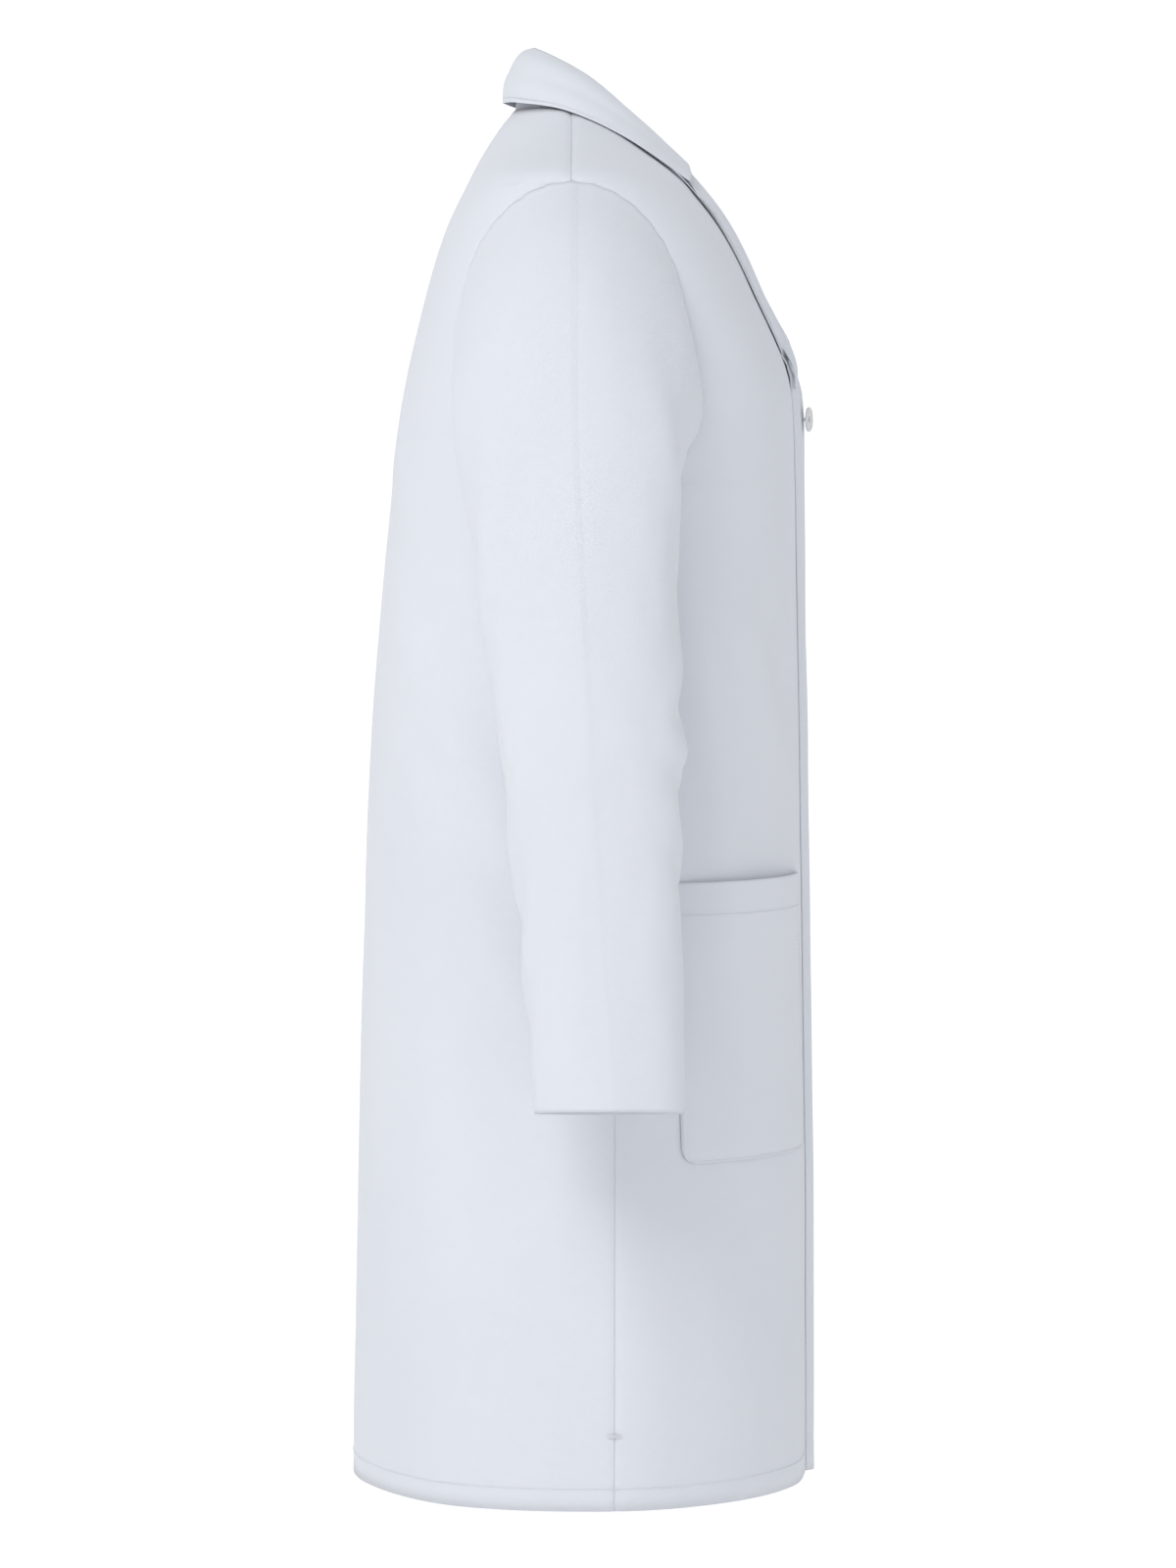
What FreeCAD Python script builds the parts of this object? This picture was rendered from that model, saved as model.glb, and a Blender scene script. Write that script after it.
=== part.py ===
import FreeCAD, Part
import math
import os

# A knee-length lab coat in millimetres, +Z up, front towards -Y, the wearer's left towards +X.
# The origin is midway between the shoulders, where the wearer or a coat hanger carries the coat.

doc = FreeCAD.newDocument("LabCoat")
sheet = doc.addObject("Spreadsheet::Sheet", "Sizes")

SIZES = {
    # body: depths are measured down from the shoulders, halves from the middle plane
    "body_length": 940,
    "hip_drop": 560,
    "waist_drop": 334,
    "underarm_drop": 230,
    "bust_drop": 165,
    "chest_drop": 94,
    "shoulder_drop": 18,
    "collarbone_drop": 45,
    "yoke_rise": 5,
    "neck_rise": 36,
    "hem_half": 250,
    "armhole_half": 219,
    "bust_half": 255,
    "chest_half": 270,
    "collarbone_half": 246,
    "yoke_half": 160,
    "neck_half": 84,
    "hem_front": 157,
    "underarm_front": 148,
    "chest_front": 118,
    "collarbone_front": 89,
    "shoulder_front": 70,
    "yoke_front": 50,
    "neck_front": 26,
    "hem_back": 166,
    "hip_back": 161,
    "waist_back": 150,
    "underarm_back": 140,
    "bust_back": 132,
    "chest_back": 116,
    "collarbone_back": 100,
    "shoulder_back": 87,
    "yoke_back": 76,
    "neck_back": 60,
    # seams and edges
    "cloth": 3,
    "ply_gap": 0.5,
    "side_seam": 18,
    "shoulder_seam": 7,
    "overlap": 20,
    "break_drop": 165,
    "neck_open": 70,
    "fold_gap": 6,
    "hem_width": 20,
    "facing_width": 50,
    "cover_rise": 8,
    "cover_ply": 2.3,
    "fly_ply": 1.5,
    # sleeves
    "sleeve_gap": 6,
    "head_drop": 118,
    "head_across": 104,
    "head_depth": 74,
    "upper_arm_reach": 290,
    "upper_arm_drop": 300,
    "upper_arm_across": 50,
    "upper_arm_depth": 70,
    "elbow_reach": 306,
    "elbow_drop": 470,
    "elbow_across": 44,
    "elbow_depth": 60,
    "cuff_reach": 325,
    "cuff_drop": 658,
    "cuff_across": 38,
    "cuff_depth": 54,
    "sleeve_hem_width": 19,
    # collar and lapels
    "fold_half": 74,
    "fold_depth": 62,
    "fold_middle": 17,
    "fold_rise": 51,
    "fold_tilt": 28,
    "fall_half": 97,
    "fall_depth": 64,
    "fall_middle": 6,
    "fall_rise": 34,
    "fall_tilt": 15,
    "stand_half": 82,
    "stand_depth": 45,
    "stand_middle": 14,
    "stand_lift": 0.2,
    "stand_tilt": 0,
    "collar_ply": 2.5,
    "collar_end": 42,
    "lapel_foot_rise": 30,
    "lapel_reach": 95,
    "lapel_point_drop": 50,
    "lapel_notch_drop": 22,
    # pockets
    "pocket_room": 9,
    "pocket_ply": 2.5,
    "pocket_inner": 80,
    "pocket_outer": 216,
    "pocket_top": 510,
    "pocket_bottom": 714,
    "pocket_hem_width": 25,
    "chest_pocket_inner": 66,
    "chest_pocket_outer": 166,
    "chest_pocket_top": 98,
    "chest_pocket_bottom": 214,
    # buttons
    "button_radius": 9,
    "button_ply": 2.4,
    "shank_radius": 1.2,
    "top_button_drop": 185,
    "fly_button_drop": 285,
    "fly_button_step": 100,
    "buttonhole_length": 22,
    "buttonhole_width": 4,
    # hanger loop
    "loop_span": 70,
    "loop_height": 22,
    "loop_band": 5,
    "loop_ply": 2.5,
    "loop_middle": 44,
    "loop_rise": 34,
}

for row, (alias, value) in enumerate(SIZES.items(), start=1):
    sheet.set(f"A{row}", alias)
    sheet.set(f"B{row}", str(value))
    sheet.setAlias(f"B{row}", alias)
doc.recompute()

parts = []


def size(alias):
    return float(sheet.get(alias))


def bind(thing, sizes):
    """Tie properties of a document object to formulas on the sheet."""
    for place, formula in sizes.items():
        thing.setExpression(place, formula.replace("$", "Sizes."))
    return thing


def part(thing, label):
    """Name a finished sub-part."""
    thing.Label = label
    parts.append(thing)
    return thing


def fabric(shape, name="Fabric"):
    """A document object for a piece of cloth that is built from its own sections."""
    thing = doc.addObject("Part::Feature", name)
    thing.Shape = shape
    return thing


def cut(base, tool):
    thing = doc.addObject("Part::Cut", "Cut")
    thing.Base = base
    thing.Tool = tool
    return thing


def fuse(shapes):
    thing = doc.addObject("Part::MultiFuse", "Fuse")
    thing.Shapes = shapes
    return thing


def box(corner, sides):
    """A block from its lowest corner and its three sides, all formulas."""
    thing = doc.addObject("Part::Box", "Block")
    places = dict(zip(("Placement.Base.x", "Placement.Base.y", "Placement.Base.z"), corner))
    return bind(thing, places | dict(zip(("Length", "Width", "Height"), sides)))


# The body's levels: height, half width, depth to the front and to the back, and how much wider
# a layer is cut there for each millimetre of cloth, because the shoulders slope.
HEM, UNDERARM = -size("body_length"), -size("underarm_drop")
BREAK = -size("break_drop")
NECK = size("neck_rise")


def along(height, low, high):
    """A size that runs straight from the underarm to the hem, and on above the underarm."""
    share = (height - UNDERARM) / (HEM - UNDERARM)
    return high + (low - high) * share


def named_level(name, height, spread, half=None, front=None):
    half = size(f"{name}_half") if half is None else half
    front = size(f"{name}_front") if front is None else front
    return (height, half, front, size(f"{name}_back"), spread)


def straight_half(height):
    return along(height, size("hem_half"), size("armhole_half"))


def straight_front(height):
    return along(height, size("hem_front"), size("underarm_front"))


LEVELS = [
    named_level("hem", HEM, 1),
    *(
        named_level(name, height, 1, straight_half(height), straight_front(height))
        for name, height in (("hip", -size("hip_drop")), ("waist", -size("waist_drop")))
    ),
    named_level("underarm", UNDERARM, 1, size("armhole_half")),
    named_level("bust", BREAK, 1, None, straight_front(BREAK)),
    named_level("chest", -size("chest_drop"), 1.1),
    named_level("collarbone", -size("collarbone_drop"), 1.4),
    named_level("shoulder", -size("shoulder_drop"), 2, size("armhole_half")),
    named_level("yoke", size("yoke_rise"), 2.5),
    named_level("neck", NECK, 2.5),
]
LEVEL_HEIGHTS = [level[0] for level in LEVELS]
UPPER_STEPS = 4
ARC_POINTS = 13
DEPTH_SPREAD = 0.5


def level_at(height):
    """The body's half width, front, back and spread at any height."""
    for low, high in zip(LEVELS, LEVELS[1:]):
        if height <= high[0] or high is LEVELS[-1]:
            share = (height - low[0]) / (high[0] - low[0])
            return [a + (b - a) * share for a, b in zip(low[1:], high[1:])]


def oval_at(height, offset):
    """Half width, half depth and middle of the body's oval, grown by a layer's offset."""
    half, front, back, spread = level_at(height)
    grown_depth = offset * (1 + (spread - 1) * DEPTH_SPREAD)
    return half + offset * spread, (front + back) / 2 + grown_depth, (back - front) / 2


def place(height, offset, angle):
    """A point of a layer; the angle is 0 in front, positive towards +X and 180 behind."""
    half, depth, middle = oval_at(height, offset)
    turn = math.radians(angle)
    return FreeCAD.Vector(half * math.sin(turn), middle - depth * math.cos(turn), height)


def angle_of_width(height, width):
    """The angle in front at which the cloth is so far from the middle plane."""
    half = oval_at(height, 0)[0]
    return math.degrees(math.asin(max(-1, min(1, width / half))))


def angle_of_depth(height, depth_line):
    """The angle at which the cloth crosses a plane that faces the front."""
    half, depth, middle = oval_at(height, 0)
    return math.degrees(math.acos(max(-1, min(1, (middle - depth_line) / depth))))


def arc(height, offset, start, end):
    points = [
        place(height, offset, start + (end - start) * i / (ARC_POINTS - 1))
        for i in range(ARC_POINTS)
    ]
    curve = Part.BSplineCurve()
    curve.interpolate(points)
    return curve.toShape()


def closed_wire(arcs):
    """Arcs in order, with straight edges from each one's end to the next one's start."""
    edges = []
    for i, (height, offset, start, end) in enumerate(arcs):
        after = arcs[(i + 1) % len(arcs)]
        edges.append(arc(height, offset, start, end))
        edges.append(Part.makeLine(place(height, offset, end), place(after[0], after[1], after[2])))
    return Part.Wire(edges)


def heights_between(low, high, corners=()):
    """The levels that a piece passes, with steps between the upper ones."""
    found = {low, high, *corners}
    for lower, upper in zip(LEVEL_HEIGHTS, LEVEL_HEIGHTS[1:]):
        steps = UPPER_STEPS if lower >= UNDERARM else 1
        found |= {lower + (upper - lower) * i / steps for i in range(steps + 1)}
    return sorted(h for h in found if low <= h <= high)


def ruled(wires):
    return Part.makeLoft(wires, True, True)


def strip(low, high, near, far, inner, outer, corners=()):
    """A layer of cloth between two heights and two edges, given as angles by height."""
    wires = []
    for height in heights_between(low, high, corners):
        start, end = near(height), far(height)
        wires.append(closed_wire([(height, outer, start, end), (height, inner, end, start)]))
    return ruled(wires)


def edge_line(side, points):
    """An edge through (height, distance from the middle plane) corners, as an angle by height."""
    ordered = sorted(points)

    def angle(height):
        for low, high in zip(ordered, ordered[1:]):
            if height <= high[0] or high is ordered[-1]:
                share = (height - low[0]) / (high[0] - low[0])
                return side * angle_of_width(height, low[1] + (high[1] - low[1]) * share)

    return angle


CLOTH = size("cloth")
GAP = size("ply_gap")
OVERLAP = size("overlap")
TURNED = (-2 * CLOTH - GAP, -CLOTH - GAP)
SEAM_CLEARANCE = 1


def front_side_edge(side, clearance=0):
    """Where a front panel ends: the side seam, the armhole or the shoulder seam."""

    def angle(height):
        seam = angle_of_depth(height, -size("side_seam") - clearance)
        if height < UNDERARM:
            return side * seam
        shoulder = angle_of_depth(height, size("shoulder_seam"))
        half = oval_at(height, 0)[0]
        if half <= size("armhole_half") + 0.01 and height > UNDERARM + 1:
            return side * shoulder
        return side * min(seam, angle_of_width(height, size("armhole_half")))

    return angle


def back_side_edge(side):
    """The same edge as the back panel meets it."""

    def angle(height):
        if height < UNDERARM:
            return side * angle_of_depth(height, -size("side_seam"))
        half = oval_at(height, 0)[0]
        if half <= size("armhole_half") + 0.01 and height > UNDERARM + 1:
            return side * angle_of_depth(height, size("shoulder_seam"))
        if height <= UNDERARM + 1:
            return side * angle_of_depth(height, -size("side_seam"))
        return side * (180 - angle_of_width(height, size("armhole_half")))

    return angle


def behind(side):
    """A back edge, counted on round the back from the wearer's right."""
    edge = back_side_edge(side)
    return lambda height: edge(height) if side > 0 else 360 + edge(height)


# Back: one panel from the neck to the hem, its turned hem, and the facing inside the neck.
part(fabric(strip(HEM, NECK, behind(1), behind(-1), -CLOTH, 0)), "back_panel")
HEM_TOP = HEM + size("hem_width")
part(fabric(strip(HEM, HEM_TOP, behind(1), behind(-1), *TURNED)), "back_hem")
part(fabric(strip(-size("shoulder_drop"), NECK, lambda h: 130, lambda h: 230, *TURNED)), "back_neck_facing")

# Fronts. Above the underarm they are fixed; below it they swing, so each is cut across there.
SKIRT_TOP = UNDERARM - size("fold_gap")
COVER_OUT = size("cover_rise")
COVER_IN = COVER_OUT - size("cover_ply")
RISER = OVERLAP + 1
NECK_CORNER = (NECK - 6, size("neck_open"))


def stepped(low, high, far):
    """The left front: its edge steps over the right front and the buttons."""
    wires = []
    for height in heights_between(low, high):
        edge = angle_of_width(height, -OVERLAP)
        inside = angle_of_width(height, RISER)
        outside = angle_of_width(height, RISER + CLOTH)
        end = far(height)
        wires.append(closed_wire([
            (height, 0, outside, end),
            (height, -CLOTH, end, inside),
            (height, COVER_IN, inside, edge),
            (height, COVER_OUT, edge, outside),
        ]))
    return ruled(wires)


def opening_edge(side):
    return edge_line(side, [(BREAK, -OVERLAP), NECK_CORNER, (NECK, size("neck_open"))])


def middle_edge(side, reach):
    return lambda height: side * angle_of_width(height, reach)


def chest_above(side):
    return strip(
        BREAK, NECK, opening_edge(side), front_side_edge(side), -CLOTH, 0, [NECK_CORNER[0]]
    )


right_low = strip(UNDERARM, BREAK, middle_edge(-1, -OVERLAP), front_side_edge(-1), -CLOTH, 0)
right_chest = fuse([fabric(right_low), fabric(chest_above(-1))])
part(right_chest, "right_front_chest")
left_low = stepped(UNDERARM, BREAK, front_side_edge(1))
left_chest = fuse([fabric(left_low), fabric(chest_above(1))])
top_hole = box(
    ("-$buttonhole_length / 2", "-$underarm_front - 20", "-$top_button_drop - $buttonhole_width / 2"),
    ("$buttonhole_length", "19", "$buttonhole_width"),
)
part(cut(left_chest, top_hole), "left_front_chest")

right_far = front_side_edge(-1, SEAM_CLEARANCE)
left_far = front_side_edge(1, SEAM_CLEARANCE)
part(
    fabric(strip(HEM, SKIRT_TOP, middle_edge(-1, -OVERLAP), right_far, -CLOTH, 0)),
    "right_front_skirt",
)
part(fabric(stepped(HEM, SKIRT_TOP, left_far)), "left_front_skirt")
part(
    fabric(strip(HEM, HEM_TOP, middle_edge(-1, -OVERLAP), right_far, *TURNED)), "right_front_hem"
)
part(fabric(strip(HEM, HEM_TOP, middle_edge(1, RISER), left_far, *TURNED)), "left_front_hem")
FACING_FOOT = HEM_TOP + 1
facing = strip(
    FACING_FOOT, SKIRT_TOP, middle_edge(-1, -OVERLAP), middle_edge(-1, size("facing_width")), *TURNED
)
part(fabric(facing), "right_front_facing")

# Concealed fly: a strip with buttonholes behind the left front's edge, and the buttons on the
# right front that come through it.
fly = strip(
    FACING_FOOT, SKIRT_TOP, middle_edge(1, 3 - OVERLAP), middle_edge(1, OVERLAP + 0.7),
    GAP, GAP + size("fly_ply"),
)
FLY_BUTTONS = 4
FRONT = "($underarm_front + ($hem_front - $underarm_front) * ({0} - $underarm_drop)"
FRONT += " / ($body_length - $underarm_drop))"
drops = [f"($fly_button_drop + {i} * $fly_button_step)" for i in range(FLY_BUTTONS)]
slots = fuse([
    box(
        ("-$buttonhole_length / 2", "-300", f"-{drop} - $buttonhole_width / 2"),
        ("$buttonhole_length", "200", "$buttonhole_width"),
    )
    for drop in drops
])
part(cut(fabric(fly), slots), "fly_strip")


def facing_front(name, sizes):
    """A cylinder whose axis points to the front."""
    thing = doc.addObject("Part::Cylinder", name)
    turned = FreeCAD.Rotation(FreeCAD.Vector(1, 0, 0), 90)
    thing.Placement = FreeCAD.Placement(FreeCAD.Vector(), turned)
    return bind(thing, sizes)


def shank(drop, rise):
    """The thread that carries a button, from the cloth's face out to a rise."""
    return facing_front("Shank", {
        "Radius": "$shank_radius",
        "Height": rise,
        "Placement.Base.y": f"-{FRONT.format(drop)}",
        "Placement.Base.z": f"-{drop}",
    })


def button(drop, rise):
    """A round button with a soft rim, lying at a rise above the right front."""
    disc = facing_front("Disc", {
        "Radius": "$button_radius",
        "Height": "$button_ply",
        "Placement.Base.y": f"-{FRONT.format(drop)} - {rise}",
        "Placement.Base.z": f"-{drop}",
    })
    rim = doc.addObject("Part::Fillet", "Rim")
    rim.Base = disc
    rim.Edges = [(1, 0.8, 0.8), (3, 0.8, 0.8)]
    return rim


FLY_RISE = "($ply_gap * 2 + $fly_ply)"
TOP_RISE = "($cover_rise + 1.5)"
part(fuse([button(drop, FLY_RISE) for drop in drops]), "fly_buttons")
part(fuse([shank(drop, FLY_RISE) for drop in drops]), "fly_button_threads")
part(button("$top_button_drop", TOP_RISE), "top_button")
part(shank("$top_button_drop", TOP_RISE), "top_button_thread")

# Lapels, folded back on the chest: each runs up from the break to its point, then to the notch.
for name, side in (("right", -1), ("left", 1)):
    foot = BREAK + size("lapel_foot_rise")
    point, notch = -size("lapel_point_drop"), -size("lapel_notch_drop")
    roll_foot = -OVERLAP + (size("neck_open") + OVERLAP) * (foot - BREAK) / (NECK_CORNER[0] - BREAK)
    near = opening_edge(side)
    far = edge_line(side, [
        (foot, roll_foot + 8), (point, size("lapel_reach")), (notch, size("lapel_reach") - 8),
    ])
    lapel = strip(foot, notch, near, far, GAP, GAP + CLOTH, [point])
    part(fabric(lapel), f"{name}_lapel")


def ring_wire(half, depth, middle, rise, tilt, offset, start, end):
    """An arc of a tilted oval, as points; the collar's edges run along such arcs."""
    lean = math.radians(tilt)
    points = []
    for i in range(ARC_POINTS * 2):
        turn = math.radians(start + (end - start) * i / (ARC_POINTS * 2 - 1))
        back = -(depth + offset) * math.cos(turn)
        points.append(FreeCAD.Vector(
            (half + offset) * math.sin(turn),
            middle + back * math.cos(lean),
            rise + back * math.sin(lean),
        ))
    return points


WIDEST_OPENING = 0.9


def collar_ring(half, depth, middle, rise, tilt, inner, outer):
    """A ring of cloth from a lower oval up to the collar's fold, open in front."""
    fold = (
        size("fold_half"), size("fold_depth"), -size("fold_middle"),
        size("fold_rise"), size("fold_tilt"),
    )
    wires = []
    for ring in ((half, depth, middle, rise, tilt), fold):
        reach = size("collar_end") + ring[2]
        share = reach / (ring[1] * math.cos(math.radians(ring[4])))
        start = math.degrees(math.acos(min(WIDEST_OPENING, share)))
        outside = ring_wire(*ring, outer, start, 360 - start)
        inside = ring_wire(*ring, inner, 360 - start, start)
        edges = []
        for line in (outside, inside):
            curve = Part.BSplineCurve()
            curve.interpolate(line)
            edges.append(curve.toShape())
        edges.insert(1, Part.makeLine(outside[-1], inside[0]))
        edges.append(Part.makeLine(inside[-1], outside[0]))
        wires.append(Part.Wire(edges))
    return ruled(wires)


# Collar: the stand rises from the neck seam to the fold, and the fall turns down outside it.
COLLAR_PLY = size("collar_ply")
stand = [size(f"stand_{name}") for name in ("half", "depth", "middle", "lift", "tilt")]
stand[3] += NECK
part(fabric(collar_ring(*stand, -COLLAR_PLY, 0)), "collar_stand")
fall = [size(f"fall_{name}") for name in ("half", "depth", "middle", "rise", "tilt")]
fall[2] = -fall[2]
part(fabric(collar_ring(*fall, GAP, GAP + COLLAR_PLY)), "collar_fall")


# Patch pockets: a patch that stands off its panel, closed at its sides and foot, open at its mouth.
def pocket(side, near, far, top, bottom, room):
    """The patch, and the turned hem inside its mouth."""
    ply = size("pocket_ply")
    inner_near, inner_far = near + ply, far - ply
    touch = GAP
    wires = []
    for height in heights_between(bottom + ply, top):
        edges = [side * angle_of_width(height, w) for w in (near, far, inner_far, inner_near)]
        wires.append(closed_wire([
            (height, room + ply, edges[0], edges[1]),
            (height, touch, edges[1], edges[2]),
            (height, room, edges[2], edges[3]),
            (height, touch, edges[3], edges[0]),
        ]))
    floor = strip(
        bottom, bottom + ply, middle_edge(side, near), middle_edge(side, far), touch, room + ply
    )
    hem = strip(
        top - size("pocket_hem_width"), top,
        middle_edge(side, inner_near + 1), middle_edge(side, inner_far - 1), room - 1.5, room - 0.3,
    )
    return fuse([fabric(ruled(wires)), fabric(floor)]), fabric(hem)


ROOM = size("pocket_room")
LOWER = [size(f"pocket_{name}") for name in ("inner", "outer")]
LOWER += [-size("pocket_top"), -size("pocket_bottom")]
for name, side in (("right", -1), ("left", 1)):
    patch, mouth_hem = pocket(side, *LOWER, ROOM)
    part(patch, f"{name}_pocket")
    part(mouth_hem, f"{name}_pocket_hem")
CHEST = [size(f"chest_pocket_{name}") for name in ("inner", "outer")]
CHEST += [-size("chest_pocket_top"), -size("chest_pocket_bottom")]
patch, mouth_hem = pocket(1, *CHEST, ROOM - 2)
part(patch, "chest_pocket")
part(mouth_hem, "chest_pocket_hem")

# Sleeves: from the armhole out and down to the cuff. Each section has its distance out, its
# middle front to back, its height, its half widths across and front to back, and its lean.
HEAD, UPPER = -size("head_drop"), -size("upper_arm_drop")
ELBOW, CUFF = -size("elbow_drop"), -size("cuff_drop")
START = size("armhole_half") + size("sleeve_gap")
SLEEVE = [
    (START, 8, HEAD, size("head_across"), size("head_depth"), 90),
    (START + 40, 9, HEAD - 34, size("head_across") - 40, size("head_depth") + 3, 58),
    (size("upper_arm_reach") - 12, 10, (HEAD + UPPER) / 2, size("upper_arm_across") + 9,
     size("head_depth") + 2, 27),
    (size("upper_arm_reach"), 6, UPPER, size("upper_arm_across"), size("upper_arm_depth"), 7),
    (size("elbow_reach"), -4, ELBOW, size("elbow_across"), size("elbow_depth"), 5),
    (size("cuff_reach"), -16, CUFF, size("cuff_across"), size("cuff_depth"), 6),
]


def sleeve_point(section, side, offset, turn):
    reach, middle, height, across, depth, lean = section
    tilt = math.radians(lean)
    out = (across + offset) * math.cos(turn)
    return FreeCAD.Vector(
        side * (reach + out * math.cos(tilt)),
        middle + (depth + offset) * math.sin(turn),
        height + out * math.sin(tilt),
    )


def sleeve_section(section, side, offset):
    """A closed round of the sleeve, leaning out from level to upright at the armhole."""
    halves = []
    for start in (0, math.pi):
        turns = [start + math.pi * i / (ARC_POINTS - 1) for i in range(ARC_POINTS)]
        points = [sleeve_point(section, side, offset, turn) for turn in turns]
        curve = Part.BSplineCurve()
        curve.interpolate(points)
        halves.append(curve.toShape())
    return Part.Wire(halves)


SEWING = 0.01


def tube(sections, side, inner, outer):
    """A tube of cloth, open at both ends."""
    rounds = [[sleeve_section(s, side, offset) for s in sections] for offset in (outer, inner)]
    faces = [face for wires in rounds for face in Part.makeLoft(wires, False, False, False, 3).Faces]
    for end in (0, -1):
        faces += Part.makeFace([rounds[0][end], rounds[1][end]], "Part::FaceMakerBullseye").Faces
    walls = Part.makeCompound(faces)
    walls.sewShape(SEWING)
    solid = Part.makeSolid(walls.Shells[0])
    if solid.Volume < 0:
        solid.reverse()
    return solid


def between(low, high, share):
    return tuple(a + (b - a) * share for a, b in zip(low, high))


def smooth_between(sections, share):
    """A section part of the way along, on a curve through the four nearest ones."""
    spot = share * (len(sections) - 1)
    i = min(int(spot), len(sections) - 2)
    t = spot - i
    before, low = sections[max(i - 1, 0)], sections[i]
    high, after = sections[i + 1], sections[min(i + 2, len(sections) - 1)]
    blend = []
    for a, b, c, d in zip(before, low, high, after):
        bend = (2 * a - 5 * b + 4 * c - d) * t * t + (3 * b - a - 3 * c + d) * t ** 3
        blend.append((2 * b + (c - a) * t + bend) / 2)
    return tuple(blend)


SLEEVE_STEPS = 10
FINE_SLEEVE = [smooth_between(SLEEVE, i / SLEEVE_STEPS) for i in range(SLEEVE_STEPS + 1)]
for name, side in (("right", -1), ("left", 1)):
    part(fabric(tube(FINE_SLEEVE, side, -CLOTH, 0)), f"{name}_sleeve")
    share = size("sleeve_hem_width") / (ELBOW - CUFF)
    hem_sections = [between(SLEEVE[-1], SLEEVE[-2], share), SLEEVE[-1]]
    part(fabric(tube(hem_sections, side, *TURNED)), f"{name}_sleeve_hem")

# Hanger loop, inside the back neck.
loop_outer = box(
    ("-$loop_span / 2", "$loop_middle - $loop_ply / 2", "$loop_rise - $loop_height"),
    ("$loop_span", "$loop_ply", "$loop_height"),
)
loop_gap = box(
    ("-$loop_span / 2 + $loop_band", "$loop_middle - $loop_ply", "$loop_rise - $loop_height + $loop_band"),
    ("$loop_span - 2 * $loop_band", "$loop_ply * 2", "$loop_height - 2 * $loop_band"),
)
part(cut(loop_outer, loop_gap), "hanger_loop")

doc.recompute()

for thing in doc.Objects:
    if "Invalid" in thing.State or "Error" in thing.State:
        raise RuntimeError(f"{thing.Label} failed: {thing.State}")
for thing in parts:
    if thing.Shape.isNull() or not thing.Shape.isValid():
        raise RuntimeError(f"{thing.Label} has no valid shape")
    if not thing.Shape.Solids:
        raise RuntimeError(f"{thing.Label} holds no solid")

os.makedirs("parts", exist_ok=True)
for thing in parts:
    thing.Shape.exportStep(f"parts/{thing.Label}.step")
    print(thing.Label, len(thing.Shape.Solids), round(thing.Shape.Volume))
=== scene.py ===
import bpy
import math
import numpy as np
from mathutils import Euler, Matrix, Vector, noise


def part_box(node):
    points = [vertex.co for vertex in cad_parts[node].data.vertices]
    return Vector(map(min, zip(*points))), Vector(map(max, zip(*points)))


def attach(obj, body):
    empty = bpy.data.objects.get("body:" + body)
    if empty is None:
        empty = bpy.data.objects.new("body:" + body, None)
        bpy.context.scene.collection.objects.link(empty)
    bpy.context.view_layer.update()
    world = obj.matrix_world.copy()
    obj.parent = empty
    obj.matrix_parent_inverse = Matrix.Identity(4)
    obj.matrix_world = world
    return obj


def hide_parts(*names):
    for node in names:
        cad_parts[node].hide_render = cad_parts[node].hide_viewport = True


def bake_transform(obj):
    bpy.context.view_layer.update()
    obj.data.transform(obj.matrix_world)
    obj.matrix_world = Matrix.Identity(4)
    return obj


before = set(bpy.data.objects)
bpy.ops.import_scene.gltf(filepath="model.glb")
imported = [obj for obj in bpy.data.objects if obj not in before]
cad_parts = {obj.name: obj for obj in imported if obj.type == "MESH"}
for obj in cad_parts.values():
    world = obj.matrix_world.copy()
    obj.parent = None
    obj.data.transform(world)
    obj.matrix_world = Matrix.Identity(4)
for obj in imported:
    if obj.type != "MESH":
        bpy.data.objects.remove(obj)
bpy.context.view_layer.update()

# A white lab coat in metres: +Z up, its front towards -Y, the wearer's left towards +X.

# ------ sizes

back_low, back_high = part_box("back_panel")
HEM = back_low[2]
HEM_HALF = back_high[0]
NECK = back_high[2]
UNDERARM = -0.231
SHOULDER_TIP = -0.021
BREAK = -0.165
SIDE_SEAM_Y = -0.018
SHOULDER_SEAM_Y = 0.0115
ARMHOLE_WIDTH = 0.0795
OVERLAP = 0.020
NECK_OPEN = 0.068
PLY = 0.0009
COVER_RISE = 0.0064
EDGE_RISE = 0.0021
HEM_WIDTH = 0.020
SLEEVE_HEM = 0.019
INSIDE = -PLY - 0.0006
SEAM_DIP = 0.0011
SEAM_DIP_WIDTH = 0.0028
TOP_BUTTON_Z = -0.185
FLY_BUTTON_ZS = [-0.285 - 0.1 * i for i in range(4)]
SIDES = {"right": -1, "left": 1}

# The body's levels: height, half width, depth in front, depth behind, squareness.
BODY = np.array([
    (HEM, HEM_HALF, 0.157, 0.166, 2.25),
    (-0.760, 0.2435, 0.1560, 0.1635, 2.25),
    (-0.560, 0.2350, 0.1530, 0.1600, 2.30),
    (-0.334, 0.2260, 0.1495, 0.1500, 2.40),
    (-0.230, 0.2210, 0.1490, 0.1400, 2.50),
    (-0.165, 0.2220, 0.1465, 0.1320, 2.70),
    (-0.094, 0.2240, 0.1180, 0.1160, 2.80),
    (-0.045, 0.2240, 0.0930, 0.1000, 2.60),
    (-0.018, 0.2180, 0.0720, 0.0870, 2.40),
    (0.005, 0.1600, 0.0500, 0.0750, 2.20),
    (0.025, 0.1080, 0.0340, 0.0620, 2.10),
    (NECK, 0.0840, 0.0260, 0.0530, 2.00),
])


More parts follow.
